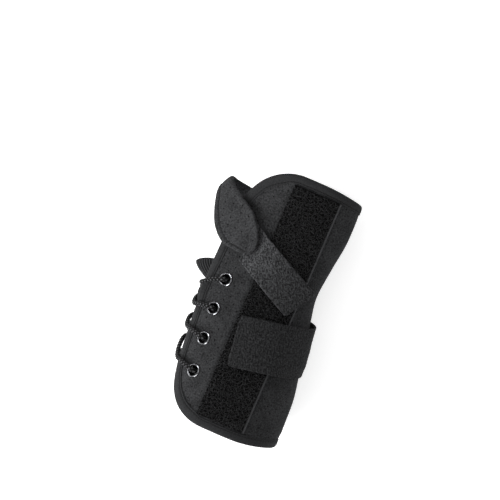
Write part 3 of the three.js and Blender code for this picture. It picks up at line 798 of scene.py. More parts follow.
@dataclass(frozen=True)
class PileGround:
    """Knitted ground of the pile strip, black between the loops, with a plain selvage at its ulnar edge."""

    name: str = "pile_ground"
    ground: float = 0.0018
    selvage: float = 0.06
    groove: float = 0.6

    def material(self) -> Material:
        """Build the node tree; the third pattern coordinate is 1 on the selvage.

        Returns:
            The material.
        """
        board = NodeBoard(self.name)
        ribs = board.wave(board.cloth(turn=90.0), scale=0.3, distortion=0.3)
        shade = board.spread(ribs, start=self.groove, end=1.0)
        edge = board.combine(Step.MULTIPLY, board.third(), shade)
        board.paint(board.spread(edge, start=self.ground, end=self.selvage))
        board.bump(ribs, depth=0.15)
        board.gloss(roughness=0.95, specular=0.05)
        return board.material


@dataclass(frozen=True)
class RibbedCloth:
    """Black knit of the tongue, with a fine stitch across its ribs."""

    name: str = "ribbed_cloth"
    dark: float = 0.0025
    light: float = 0.032

    def material(self) -> Material:
        """Build the node tree of the knit; the third pattern coordinate is 1 on top of a rib, whose top is
        painted lighter and whose grooves are painted darker, as painted light and shade.

        Returns:
            The material.
        """
        board = NodeBoard(self.name)
        stitch = board.wave(board.cloth(turn=45.0), scale=0.35, distortion=0.5)
        grain = board.noise(board.cloth(), scale=1.2)
        # Painted light and shade: rib tops lighter, grooves between the ribs darker.
        tone = board.blend((stitch, 0.15), (grain, 0.2), (board.third(), 0.65))
        board.paint(board.spread(tone, low=0.25, high=0.8, start=self.dark, end=self.light))
        board.bump(board.blend((stitch, 0.5), (grain, 0.5)), depth=0.16)
        board.gloss(roughness=0.9, sheen=FUZZ, specular=0.06)
        return board.material


@dataclass(frozen=True)
class BraidedCord:
    """Black braided yarn of the lace, with a painted shine on top of its strands and painted shade in the
    grooves between them.
    """

    name: str = "braided_cord"
    dark: float = 0.0008
    light: float = 0.068

    def material(self) -> Material:
        """Build the node tree of the yarn; the third pattern coordinate is 1 on top of a strand.

        Returns:
            The material.
        """
        board = NodeBoard(self.name)
        grain = board.noise(board.cloth((1.0, 1.0, 9.0)), scale=0.9)
        # Painted highlight on the strand tops and painted shade in the grooves, from the braid's relief.
        tone = board.blend((board.third(), 0.75), (grain, 0.25))
        board.paint(board.spread(tone, low=0.6, high=0.92, start=self.dark, end=self.light))
        board.bump(board.noise(board.cloth(), scale=6.0, detail=1.0), depth=0.05)
        board.gloss(roughness=0.6, sheen=FUZZ, specular=0.07)
        return board.material


@dataclass(frozen=True)
class SewingThread:
    """Dark sewing thread."""

    name: str = "sewing_thread"
    dark: float = 0.002
    light: float = 0.009

    def material(self) -> Material:
        """Build the node tree of the thread.

        Returns:
            The material.
        """
        board = NodeBoard(self.name)
        twist = board.wave(board.cloth(turn=30.0), scale=1.4)
        board.paint(board.spread(twist, start=self.dark, end=self.light))
        board.bump(twist, depth=0.05)
        board.gloss(roughness=0.7, specular=0.12)
        return board.material


@dataclass(frozen=True)
class NickelPlate:
    """Bright nickel plate with faint rubbing marks."""

    name: str = "nickel_plate"
    worn: float = 0.085
    bright: float = 0.33

    def material(self) -> Material:
        """Build the node tree of the metal.

        Returns:
            The material.
        """
        board = NodeBoard(self.name)
        rubbed = board.noise(board.cloth(), scale=0.9, detail=4.0, roughness=0.6)
        board.paint(board.spread(rubbed, low=0.35, high=0.6, start=self.worn, end=self.bright))
        board.bump(rubbed, depth=0.03)
        board.gloss(roughness=board.spread(rubbed, low=0.3, high=0.7, start=0.12, end=0.07), metallic=1.0)
        return board.material


@dataclass
class WrapForm:
    """Outer form of the wrap, unrolled: length round its section and level along it."""

    palmar_line: float = 5.0
    dorsal_power: float = 2.05
    palmar_power: float = 2.2
    quarter_steps: int = 360
    level_step: float = 0.5
    plan_from: float = -45.0
    plan_to: float = 59.0
    plan_step: float = 0.1
    probe: float = 0.4

    def __post_init__(self) -> None:
        """Lay out every section of the form by running length, and by plan place on its dorsal side."""
        self.levels = np.arange(SECTIONS[0].y, SECTIONS[-1].y + self.level_step / 2, self.level_step)
        column = {name: table_curve(SECTIONS, name, self.levels)[:, None] for name in SectionRow._fields}
        top = (column["ridge_x"], column["ridge"], self.dorsal_power)
        bottom = (np.full_like(column["palmar"], self.palmar_line), column["palmar"], self.palmar_power)
        ulnar = (column["ulnar"], column["ulnar_z"])
        radial = (column["radial"], column["radial_z"])
        rise = np.arange(self.quarter_steps) / self.quarter_steps * (math.pi / 2)
        fall = math.pi / 2 - rise
        quarters = ((top, ulnar, rise), (bottom, ulnar, fall), (bottom, radial, rise), (top, radial, fall))
        parts = [self.quarter(*quarter) for quarter in quarters]
        parts.append(tuple(rows[:, :1] for rows in parts[0]))
        x, z = (np.concatenate(rows, axis=1) for rows in zip(*parts))
        lengths = run_lengths(np.stack([x, z], axis=-1))
        self.totals = lengths[:, -1]
        self.samples = x.shape[1] - 1
        even = np.linspace(0.0, 1.0, self.samples + 1)
        shares = lengths / self.totals[:, None]
        self.x, self.z = (
            np.array([np.interp(even, share, row) for share, row in zip(shares, rows)]) for rows in (x, z)
        )
        self.plan_x = np.arange(self.plan_from, self.plan_to, self.plan_step)
        first, last = self.quarter_steps, 3 * self.quarter_steps
        plan = np.concatenate([x[:, last:-1], x[:, : first + 1]], axis=1)
        radial_lengths = lengths[:, last:-1] - self.totals[:, None]
        around = np.concatenate([radial_lengths, lengths[:, : first + 1]], axis=1)
        self.plan = np.array([np.interp(self.plan_x, row, length) for row, length in zip(plan, around)])

    @staticmethod
    def quarter(crown: tuple[Array, Array, float], side: tuple[Array, Array],
                angle: Array) -> tuple[Array, Array]:
        """One rounded quarter of every section, as x and height.

        Args:
            crown: x, height and roundness of its top or bottom.
            side: x and height of its side.
            angle: Angles from the crown toward the side.

        Returns:
            The x and the height of each point; cloth below the floor lies flat on it.
        """
        power = 2.0 / crown[2]
        x = crown[0] + (side[0] - crown[0]) * np.sin(angle) ** power
        z = side[1] + (crown[1] - side[1]) * np.maximum(np.cos(angle), 0.0) ** power
        return x, np.maximum(z, 0.0)

    def level(self, y: Array) -> tuple[Array, Array]:
        """Index of the section before a level, and the share of the step past it."""
        return step_before((y - self.levels[0]) / self.level_step, len(self.levels))

    def total(self, y: Array) -> Array:
        """Whole length round the section at a level."""
        return np.interp(y, self.levels, self.totals)

    def point(self, around: Array, y: Array) -> Array:
        """Point of the form at a length round it: positive by the ulnar side, negative by the radial.

        Args:
            around: Lengths round the section.
            y: Levels.

        Returns:
            Points, with 3 as the last axis.
        """
        around, y = np.broadcast_arrays(np.asarray(around, dtype=float), np.asarray(y, dtype=float))
        index, share = self.level(y)
        found = []
        for row in (index, index + 1):
            place = np.mod(around / self.totals[row], 1.0) * self.samples
            low = np.minimum(place.astype(int), self.samples - 1)
            found.append([mix(grid[row, low], grid[row, low + 1], place - low) for grid in (self.x, self.z)])
        x, z = (mix(before, after, share) for before, after in zip(*found))
        return np.stack([x, y, z], axis=-1)

    def skin(self, around: Array, y: Array, height: float | Array) -> Array:
        """Point at a height above the form, along its outward normal.

        Args:
            around: Lengths round the section.
            y: Levels.
            height: Heights above the form.

        Returns:
            Points, with 3 as the last axis.
        """
        across = self.point(around + self.probe, y) - self.point(around - self.probe, y)
        along = self.point(around, y + self.probe) - self.point(around, y - self.probe)
        lift = np.asarray(height, dtype=float)[..., None]
        return self.point(around, y) + unit(np.cross(across, along)) * lift

    def around_at(self, x: float | Array, y: float | Array) -> Array:
        """Length round the section at which the dorsal side stands over a plan place.

        Args:
            x: Plan places across the wrap.
            y: Levels.

        Returns:
            Lengths round the section, negative on the radial side of the ridge.
        """
        x, y = np.broadcast_arrays(np.asarray(x, dtype=float), np.asarray(y, dtype=float))
        index, share = self.level(y)
        low, part = step_before((x - self.plan_x[0]) / self.plan_step, len(self.plan_x))
        rows = (index, index + 1)
        before, after = (mix(self.plan[row, low], self.plan[row, low + 1], part) for row in rows)
        return mix(before, after, share)

    def dorsal(self, x: Array, y: Array, height: float | Array) -> Array:
        """Point above a plan place on the dorsal side."""
        return self.skin(self.around_at(x, y), y, height)


@dataclass
class WrapPattern:
    """Flat pattern of the wrap between the edges of its two flaps."""

    form: WrapForm
    proximal: float = -98.9
    distal: float = 96.7
    ulnar_rise: float = 6.0
    ulnar_drop: float = 3.5
    palmar_drop: float = 12.0
    ulnar_slant: float = 5.0
    palmar_slant: float = 65.0
    palmar_slant_end: float = 125.0
    proximal_corner: float = 41.0
    distal_corner: float = 37.0
    palmar_corner: float = 36.0
    corner_rows: int = 27
    edge_row: float = 1.0
    edge_columns: int = 240
    flare_level: float = -9.0
    flare_reach: float = 5.5
    flare_height: float = 2.4
    flare_depth: float = 9.0

    @property
    def length(self) -> float:
        """Length of the pattern along the wrap."""
        return self.distal - self.proximal

    def flap_edge(self, y: float | Array) -> Array:
        """Length round the section from the ridge to the dorsal flap's edge."""
        return -self.form.around_at(table_curve(FLAPS, "edge_x", y), y)

    def open_width(self, y: float | Array) -> Array:
        """Open width from the dorsal flap's edge to the palmar edge."""
        return table_curve(FLAPS, "gap", y)

    def lacing(self, past: float | Array, y: float | Array, height: float | Array) -> Array:
        """Point beside the lacing, past the dorsal flap's edge toward the palmar flap."""
        return self.form.skin(-self.flap_edge(y) - past, y, height)

    def flare(self, around: Array, y: Array) -> Array:
        """Lift of the dorsal flap's edge where it stands off the form between the upper two eyelets."""
        near_edge = 1 - smooth(around + self.flap_edge(y), 0.0, self.flare_depth)
        return self.flare_height * near_edge * bell(y - self.flare_level, self.flare_reach)

    def place(self, share: Array, distance: Array) -> tuple[Array, Array]:
        """Place on the form of a point of the flat pattern.

        Args:
            share: 0 at the dorsal flap's edge to 1 at the palmar edge.
            distance: Distance from the proximal end.

        Returns:
            Length round the section, and level.
        """
        level = self.proximal + distance
        from_end = np.minimum(distance, self.distal - level)
        proximal_half = distance <= self.length / 2
        inset = np.where(proximal_half, corner_inset(from_end, self.proximal_corner),
                         corner_inset(from_end, self.distal_corner))
        start = -self.flap_edge(level) + inset
        palmar_edge = self.form.total(level) - self.flap_edge(level) - self.open_width(level)
        end = palmar_edge - corner_inset(from_end, self.palmar_corner)
        around = mix(start, end, share)
        ulnar = smooth(around, self.ulnar_slant, self.palmar_slant)
        palmar = smooth(around, self.palmar_slant, self.palmar_slant_end)
        low = self.proximal + ulnar * self.ulnar_rise
        high = self.distal - ulnar * self.ulnar_drop - palmar * self.palmar_drop
        return around, mix(low, high, distance / self.length)

    def row_distances(self, step: float) -> Array:
        """Rows of the pattern, closer where the corners are round.

        Args:
            step: Spacing between the corners.

        Returns:
            Distances from the proximal end.
        """
        turn = 1 - np.cos(np.linspace(0.0, math.pi / 2, self.corner_rows))
        low = self.proximal_corner * turn
        high = self.length - (self.distal_corner * turn)[::-1]
        middle = even_steps(self.proximal_corner, self.length - self.distal_corner, step)
        return np.concatenate([low[:-1], middle, high[1:]])

    def outline(self, step: float) -> Array:
        """Edge of the pattern as places on the form, once round with the cloth on the left.

        Args:
            step: Spacing along the edge.

        Returns:
            Lengths round and levels, one row for each place.
        """
        rows = self.row_distances(self.edge_row)
        shares = np.linspace(0.0, 1.0, self.edge_columns)
        sides = (
            (shares, np.zeros_like(shares)),
            (np.ones_like(rows), rows),
            (shares[::-1], np.full_like(shares, self.length)),
            (np.zeros_like(rows), rows[::-1]),
        )
        line = np.concatenate([np.stack(self.place(*side), axis=-1)[:-1] for side in sides])
        line = np.vstack([line, line[:1]])
        lengths = run_lengths(line)
        count = int(lengths[-1] / step)
        return along_line(line, lengths, np.arange(count) * lengths[-1] / count)


@dataclass
class EyeletPlace:
    """Place of one eyelet beside the lacing."""

    row: EyeletRow
    number: int
    past: float
    y: float

    @property
    def node(self) -> str:
        """Name of the eyelet's node."""
        return f"eyelet_{self.row.value}_{self.number}"


@dataclass
class EyeletSet:
    """The two rows of rolled nickel eyelets."""

    pattern: WrapPattern
    palmar_inset: float = 15.5
    hole_radius: float = 3.65
    barrel_radius: float = 3.85
    barrel_flare: float = 0.1
    barrel_heights: tuple[float, float, float, float] = (0.03, -0.1, -3.05, -3.12)
    flange_radius: float = 5.1
    flange_foot: float = 0.2
    flange_rise: float = 0.95
    back_radius: float = 4.85
    back_foot: float = -3.35
    back_rise: float = -0.65
    roll_points: int = 11
    sides: int = 56
    rub_radius: float = 4.0

    def __post_init__(self) -> None:
        """Work out where each eyelet stands."""
        self.places: list[EyeletPlace] = []
        for number, plan in enumerate(EYELETS, start=1):
            edge = float(self.pattern.flap_edge(plan.dorsal_y))
            past = -edge - float(self.pattern.form.around_at(plan.dorsal_x, plan.dorsal_y))
            inset = float(self.pattern.open_width(plan.palmar_y)) + self.palmar_inset
            self.places.append(EyeletPlace(EyeletRow.DORSAL, number, past, plan.dorsal_y))
            self.places.append(EyeletPlace(EyeletRow.PALMAR, number, inset, plan.palmar_y))

    def find(self, row: EyeletRow, number: int) -> EyeletPlace:
        """The eyelet with a row and a number."""
        return next(place for place in self.places if place.row is row and place.number == number)

    def around(self, place: EyeletPlace) -> float:
        """Length round the section at an eyelet, as the flat pattern counts it."""
        around = -float(self.pattern.flap_edge(place.y)) - place.past
        return around if place.row is EyeletRow.DORSAL else around + float(self.pattern.form.total(place.y))

    def seat(self, place: EyeletPlace) -> tuple[Array, Array]:
        """Middle of an eyelet on the form, and its axis out of the wrap."""
        foot = self.pattern.lacing(place.past, place.y, 0.0)
        return foot, unit(self.pattern.lacing(place.past, place.y, 1.0) - foot)

    def profile(self) -> Array:
        """Closed section of the rolled ring.

        Returns:
            Radius and height above the cloth, one row for each point.
        """
        front = self.roll(self.flange_radius, self.flange_foot, self.flange_rise)
        back = self.roll(self.back_radius, self.back_foot, self.back_rise)[::-1]
        flared = self.barrel_radius + self.barrel_flare
        radii = (flared, self.barrel_radius, self.barrel_radius, flared)
        return np.concatenate([front, np.stack([radii, self.barrel_heights], axis=-1), back])

    def roll(self, outside: float, foot: float, rise: float) -> Array:
        """Radii and heights of a rolled edge, from the hole to the outside, which rises from its foot."""
        angle = np.linspace(math.pi, 0.0, self.roll_points)
        return np.stack([mix(self.hole_radius, outside, 0.5 + 0.5 * np.cos(angle)),
                         foot + rise * np.sin(angle)], axis=-1)

    def build(self, finish: Material) -> list[Piece]:
        """Turn each ring and set it in the wrap.

        Args:
            finish: Material of the metal.

        Returns:
            The eyelets.
        """
        profile = self.profile()
        angles = ring_angles(self.sides)
        pieces = []
        for place in self.places:
            foot, axis = self.seat(place)
            east = unit(np.cross(DISTAL, axis))
            spoke = spokes(angles, east, np.cross(axis, east))
            rings = foot + spoke[:, None, :] * profile[:, :1] + axis * profile[:, 1:]
            cloth = pattern_grid(angles[:, None] * self.rub_radius, profile.sum(axis=1), float(place.number))
            draft = MeshDraft()
            draft.add_rings(rings[:, ::-1], cloth[:, ::-1], closed=True)
            pieces.append(place_piece(draft, f"rolled_{place.node}", finish, (place.node,)))
        return pieces


@dataclass
class WrapShell:
    """The wrap itself: one sheet of laminate round the form, punched for the eyelets."""

    pattern: WrapPattern
    eyelets: EyeletSet
    thickness: float = 3.0
    flat_width: float = 222.0
    row_step: float = 1.25
    columns: int = 182
    punch: float = 4.1
    punch_margin: float = 0.4
    swell: float = 0.28
    swell_length: float = 30.0
    swell_seed: int = 5
    flat_border: tuple[float, float] = (6.0, 12.0)
    ridge_x: float = -8.1
    ridge_height: float = 0.4
    ridge_width: float = 1.7
    ridge_ends: tuple[float, float] = (-93.0, 90.0)
    ridge_taper: float = 3.0
    groove_beside: float = 1.9
    groove_width: float = 0.9
    groove_depth: float = 0.2
    seat_radius: float = 5.2
    seat_reach: float = 11.0
    seat_gap: float = 0.03
    crease_length: float = 17.0
    crease_drift: float = 3.0
    crease_width: float = 2.6
    crease_depth: float = 0.45
    crease_peak: float = 0.75
    crease_spread: float = 0.44721

    def relief(self, around: Array, y: Array, edge: Array) -> Array:
        """Height of the laid cloth above the form.

        Args:
            around: Lengths round the section.
            y: Levels.
            edge: Distances to the nearest edge of the pattern.

        Returns:
            Heights: soft swells, creases toward the lacing, the seam beside the pile, seats of eyelets.
        """
        inside = smooth(edge, *self.flat_border)
        height = self.swell * uneven(around, y, self.swell_length, self.swell_seed) * inside
        beside = around - self.pattern.form.around_at(np.full_like(y, self.ridge_x), y)
        start, end = self.ridge_ends
        along = smooth(y, start, start + self.ridge_taper) * (1 - smooth(y, end - self.ridge_taper, end))
        ridge = bell(beside, self.ridge_width) * self.ridge_height
        groove = bell(beside - self.groove_beside, self.groove_width) * self.groove_depth
        height = height + (ridge - groove) * along
        for place in self.eyelets.places:
            centre = self.eyelets.around(place)
            distance = np.hypot(around - centre, y - place.y)
            near = distance < self.seat_reach
            foot, axis = self.eyelets.seat(place)
            below = (foot - self.pattern.form.point(around[near], y[near])) @ axis
            seat = 1 - smooth(distance[near], self.seat_radius, self.seat_reach)
            height[near] = mix(height[near], below - self.seat_gap, seat)
            if place.row is EyeletRow.DORSAL:
                pull = (around - centre) / self.crease_length
                crease = bell(y - place.y + self.crease_drift * pull, self.crease_width)
                crease = crease * bell(pull - self.crease_peak, self.crease_spread)
                height = height - self.crease_depth * crease * inside
        return height

    def punch_holes(self, around: Array, y: Array) -> Array:
        """Draw the grid out to the rim of each hole, in place.

        Args:
            around: Lengths round the section, which change beside the holes.
            y: Levels, which change with them.

        Returns:
            Which cells of the grid are cloth.
        """
        keep = np.ones((around.shape[0] - 1, around.shape[1] - 1), dtype=bool)
        for place in self.eyelets.places:
            centre = self.eyelets.around(place)
            cell_around, cell_y = ((grid[:-1, :-1] + grid[1:, 1:]) / 2 for grid in (around, y))
            keep &= np.hypot(cell_around - centre, cell_y - place.y) > self.punch - self.punch_margin
            distance = np.hypot(around - centre, y - place.y)
            inner = distance < self.punch
            push = self.punch / np.maximum(distance[inner], TINY)
            around[inner] = centre + (around[inner] - centre) * push
            y[inner] = place.y + (y[inner] - place.y) * push
        return keep

    def build(self, finish: Material) -> list[Piece]:
        """Lay the laminate on the form and punch it.

        Args:
            finish: Material of the laminate.

        Returns:
            The wrap.
        """
        rows = self.pattern.row_distances(self.row_step)
        around, y = self.pattern.place(np.linspace(0.0, 1.0, self.columns)[None, :], rows[:, None])
        keep = self.punch_holes(around, y)
        edge = np.minimum(np.minimum(around - around[:, :1], around[:, -1:] - around),
                          np.minimum(y - y[:1], y[-1:] - y))
        flare = self.pattern.flare(around, y)
        outer = self.pattern.form.skin(around, y, self.relief(around, y, edge) + flare)
        inner = self.pattern.form.skin(around, y, flare - self.thickness)
        draft = MeshDraft()
        draft.add_sheet(outer, inner, pattern_grid(around, y, 0.0), keep)
        piece = place_piece(draft, "wrap_shell", finish, ("shell",))
        return [piece]


def tubes(paths: Array, radius: float, sides: int) -> MeshDraft:
    """Short capped tubes along many paths of equal count.

    Args:
        paths: Paths by points by 3.
        radius: Radius of each tube.
        sides: Sides of each tube.

    Returns:
        One draft with all the tubes, each with a place of its own in the grain.
    """
    tangent = unit(np.gradient(paths, axis=1))
    guide = np.where(np.abs(tangent[..., 2:3]) < STEEP, UP, ULNAR)
    east = unit(np.cross(guide, tangent))
    angles = ring_angles(sides)
    rings = paths[:, :, None, :] + spokes(angles, east, np.cross(tangent, east)) * radius
    tone = np.random.default_rng(TUBE_SEED).uniform(0.0, TUBE_GRAIN, len(paths))
    along = np.arange(paths.shape[1]) * TUBE_STEP
    cloth = pattern_grid(tone[:, None, None], along[:, None], angles * radius)
    draft = MeshDraft()
    for tube, marks in zip(rings, cloth):
        draft.add_rings(tube, marks, closed=False)
    return draft


@dataclass
class EdgeTape:
    """Folded tape over the whole edge of the wrap, and the stitches that hold it."""

    pattern: WrapPattern
    step: float = 0.9
    flap_width: float = 7.2
    end_width: float = 5.5
    narrowing: tuple[float, float] = (-26.0, -18.0)
    fold_share: float = 0.1
    seam_share: float = 0.78
    seam_height: float = 0.3
    pucker: float = 0.09
    waver: float = 0.12
    waver_length: float = 18.0
    waver_seed: int = 3
    travel_reach: int = 3
    stitch_pitch: float = 2.7
    stitch_length: float = 2.0
    stitch_arch: float = 1.5
    stitch_sink: float = 0.7
    thread_radius: float = 0.28

    def profile(self) -> tuple[Array, Array]:
        """Section of the folded tape, from the outer leg over the fold to the inner leg and back inside.

        Returns:
            Share of the tape's width inward, or millimetres outward if negative, and height.
        """
        outer_leg = [(1.0, 0.12), (1.004, 0.4), (0.98, 0.62), (0.91, 0.72), (0.85, 0.66),
                     (self.seam_share, self.seam_height), (0.71, 0.66), (0.58, 0.76), (0.4, 0.8),
                     (0.2, 0.78)]
        fold = [(0.02, 0.6), (-0.6, 0.3), (-1.0, -0.2), (-1.15, -0.9), (-1.15, -2.2), (-1.0, -3.0),
                (-0.6, -3.6)]
        inner_leg = [(0.02, -3.95), (0.2, -4.1), (0.6, -4.05), (0.78, -3.85), (0.95, -3.9), (1.0, -3.6)]
        inside = [(0.98, -3.2), (0.08, -3.2), (-0.2, -2.8), (-0.2, -0.3), (0.08, 0.1)]
        share, height = np.array(outer_leg + fold + inner_leg + inside).T
        return share, height

    def width(self, places: Array) -> Array:
        """Width of the tape at places on the edge: wider on the dorsal flap than past the pile."""
        return mix(self.flap_width, self.end_width, smooth(places[:, 0], *self.narrowing))

    def edge_frame(self) -> tuple[Array, Array]:
        """Course of the wrap's edge.

        Returns:
            Places along the edge, and the unit direction of travel at each.
        """
        places = self.pattern.outline(self.step)
        travel = np.zeros_like(places)
        for reach in range(1, self.travel_reach + 1):
            travel += np.roll(places, -reach, axis=0) - np.roll(places, reach, axis=0)
        return places, unit(travel)

    def build(self, finish: Material, thread: Material) -> list[Piece]:
        """Fold the tape over the edge and sew it.

        Args:
            finish: Material of the tape.
            thread: Material of the thread.

        Returns:
            The tape and its stitches.
        """
        places, travel = self.edge_frame()
        share, height = self.profile()
        along = np.arange(len(places)) * self.step
        inward = np.where(share > 0, share * self.width(places)[:, None], share)
        around = places[:, :1] - travel[:, 1:] * inward
        y = places[:, 1:] + travel[:, :1] * inward
        pucker = self.pucker * np.sin(2 * math.pi * along / self.stitch_pitch)
        pucker = pucker + self.waver * uneven(along, along * 0, self.waver_length, self.waver_seed)
        puckered = (height > self.seam_height) & (share > self.fold_share)
        lift = self.pattern.flare(around, y) + pucker[:, None] * puckered
        rings = self.pattern.form.skin(around, y, height + lift)
        girth = run_lengths(np.stack([inward.mean(axis=0), height], axis=-1))
        # Marks the seam's groove, which the tape's material darkens as painted shade.
        groove = (np.isclose(share, self.seam_share) & (height > 0)).astype(float)
        draft = MeshDraft()
        draft.add_rings(rings, pattern_grid(along[:, None], girth, groove), closed=True)
        piece = place_piece(draft, "edge_tape", finish, ("edge_binding",))
        return [piece, self.sew(places, travel, thread)]

    def sew(self, places: Array, travel: Array, thread: Material) -> Piece:
        """Lay one row of stitches in the groove of the outer leg, each dipping into the tape at both ends.

        Args:
            places: Places along the edge.
            travel: Direction of travel at each.
            thread: Material of the thread.

        Returns:
            The stitches.
        """
        length = len(places) * self.step
        count = int(length / self.stitch_pitch)
        starts = np.arange(count) * length / count
        inset = (self.width(places) * self.seam_share)[:, None]
        line = places + np.stack([-travel[:, 1], travel[:, 0]], axis=-1) * inset
        shares = np.linspace(0.0, 1.0, STITCH_POINTS)
        runs = starts[:, None] + shares * self.stitch_length
        seam = along_line(line, np.arange(len(places)) * self.step, runs)
        around, y = seam[..., 0], seam[..., 1]
        arch = self.stitch_arch * np.sqrt(4 * shares * (1 - shares)) - self.stitch_sink
        height = self.seam_height + self.thread_radius * arch + self.pattern.flare(around, y)
        stitches = tubes(self.pattern.form.skin(around, y, height), self.thread_radius, THREAD_SIDES)
        return place_piece(stitches, "tape_stitches", thread)


class Nap(NamedTuple):
    """One swell of a soft face: its height, its usual length and the seed of its waves."""

    height: float
    length: float
    seed: int


@dataclass
class WebbingStrap(ABC):
    """Webbing strap with round edges and a brushed face, which closes on the pile."""

    form: WrapForm
    piece: str
    node: str
    width: float
    length: float
    corner: float
    grid: float
    nap: tuple[Nap, Nap]
    thickness: float = 1.5
    rounding: float = 0.75
    edge_fall: float = 0.85
    pile_top: float = 2.4
    # Strength of the painted sheen at the start of the strap, and the shares of its length over which it
    # fades.
    painted_sheen: float = 0.0
    painted_sheen_shares: tuple[float, float] = (0.15, 0.75)
    east: float = field(init=False)
    north: float = field(init=False)

    @abstractmethod
    def ends(self, off: Array, inset: float | Array) -> tuple[float | Array, float | Array]:
        """Runs at which the strap starts and ends, at offsets across it and with the corners drawn in."""

    @abstractmethod
    def place(self, run: Array, off: Array) -> tuple[Array, Array]:
        """Length round the section and level of a run along the strap and an offset across it."""

    @abstractmethod
    def from_start(self, x: Array, y: Array) -> tuple[Array, Array]:
        """How far plan places lie from the start of the strap, across the wrap and along it."""

    @abstractmethod
    def underside(self, run: Array, off: Array) -> Array:
        """Height of the strap's underside above the form."""

    def turned(self, run: Array, off: Array) -> tuple[Array, Array]:
        """A run along the strap and an offset across it, as distances across the wrap and along it."""
        return run * self.east - off * self.north, run * self.north + off * self.east

    def covers(self, x: Array, y: Array, margin: float) -> Array:
        """Whether the strap covers plan places.

        Args:
            x: Plan places across the wrap.
            y: Levels.
            margin: How far inside the strap's edges a place has to be.

        Returns:
            True where a place is covered.
        """
        out, up = self.from_start(x, y)
        run, off = out * self.east + up * self.north, up * self.east - out * self.north
        begin, end = self.ends(off, 0.0)
        inside = (run > begin + margin) & (run < end - margin)
        return inside & (np.abs(off) < self.width / 2 - margin)

    def build(self, finish: Material) -> list[Piece]:
        """Lay the strap on the pile and the wrap.

        Args:
            finish: Material of the webbing.

        Returns:
            The strap.
        """
        across = edge_steps(self.width, self.grid, self.rounding)
        along = edge_steps(self.length, self.grid, self.rounding)
        off = (across - self.width / 2)[:, None]
        from_edge = np.minimum(across, self.width - across)[:, None]
        from_end = np.minimum(along, self.length - along)
        share = along / self.length
        run = mix(*self.ends(off, corner_inset(from_edge, self.corner)), share)
        around, y = self.place(run, off)
        drop = edge_drop(np.minimum(from_edge, from_end), self.rounding) * self.edge_fall
        fine, coarse = (nap.height * uneven(run, off, nap.length, nap.seed) for nap in self.nap)
        low = self.underside(run, off)
        top = low + self.thickness + (fine + coarse) - drop
        # Painted sheen: paler colour at the start of the strap, fading along it.
        painted_sheen = self.painted_sheen * (1 - smooth(share, *self.painted_sheen_shares))
        draft = MeshDraft()
        draft.add_sheet(self.form.skin(around, y, top), self.form.skin(around, y, low + drop),
                        pattern_grid(run, off, painted_sheen))
        piece = place_piece(draft, self.piece, finish, (self.node,))
        return [piece]


@dataclass
class ForearmStrap(WebbingStrap):
    """Wide webbing strap, sewn at the ulnar side and closed on the pile."""

    piece: str = "forearm_webbing"
    node: str = "forearm_strap"
    width: float = 38.0
    length: float = 89.0
    corner: float = 3.0
    grid: float = 0.55
    nap: tuple[Nap, Nap] = (Nap(0.10, 2.4, seed=21), Nap(0.16, 14.0, seed=22))
    start_x: float = -1.2
    start_y: float = -33.0
    tilt: float = 10.8
    closed_skew: tuple[float, float] = (-2.6, 1.5)
    pile_ulnar: float = 31.0
    step_down: tuple[float, float] = (2.0, 16.0)
    bridge: float = 3.4
    bridge_rise: float = 28.0
    bridge_fall: tuple[float, float] = (58.0, 74.0)
    bridge_least: float = 0.35
    bridge_power: float = 1.5
    hug: float = 0.25

    def __post_init__(self) -> None:
        """Work out the direction of the strap on the unrolled wrap, and where it starts."""
        self.east, self.north = math.cos(math.radians(self.tilt)), math.sin(math.radians(self.tilt))
        self.start = float(self.form.around_at(self.start_x, self.start_y))

    def ends(self, off: Array, inset: float | Array) -> tuple[float | Array, float | Array]:
        """Runs at the slanted closed end, with its corners drawn in, and at the sewn end."""
        return mix(*self.closed_skew, off / self.width + 0.5) + inset, self.length

    def place(self, run: Array, off: Array) -> tuple[Array, Array]:
        """Length round the section and level of a run along the strap and an offset across it."""
        out, up = self.turned(run, off)
        return self.start + out, self.start_y + up

    def from_start(self, x: Array, y: Array) -> tuple[Array, Array]:
        """How far plan places lie from the start, round the section and along the wrap."""
        return self.form.around_at(x, y) - self.start, y - self.start_y

    def underside(self, run: Array, off: Array) -> Array:
        """Height of the underside: up on the pile, down beside it, taut over the hollow at the ulnar side.

        Args:
            run: Runs along the strap.
            off: Offsets across it.

        Returns:
            Heights above the form.
        """
        around, _ = self.place(run, off)
        v = np.clip(off / self.width + 0.5, 0.0, 1.0)
        past_pile = around - float(self.form.around_at(self.pile_ulnar, self.start_y))
        laid = mix(self.pile_top + SEAM_GAP, SEAM_GAP, smooth(past_pile, *self.step_down))
        spanned = smooth(past_pile, 0.0, self.bridge_rise) * (1 - smooth(around, *self.bridge_fall))
        taut = mix(self.bridge_least, 1.0, v ** self.bridge_power) * smooth(v, 0.0, self.hug)
        return laid + self.bridge * spanned * taut


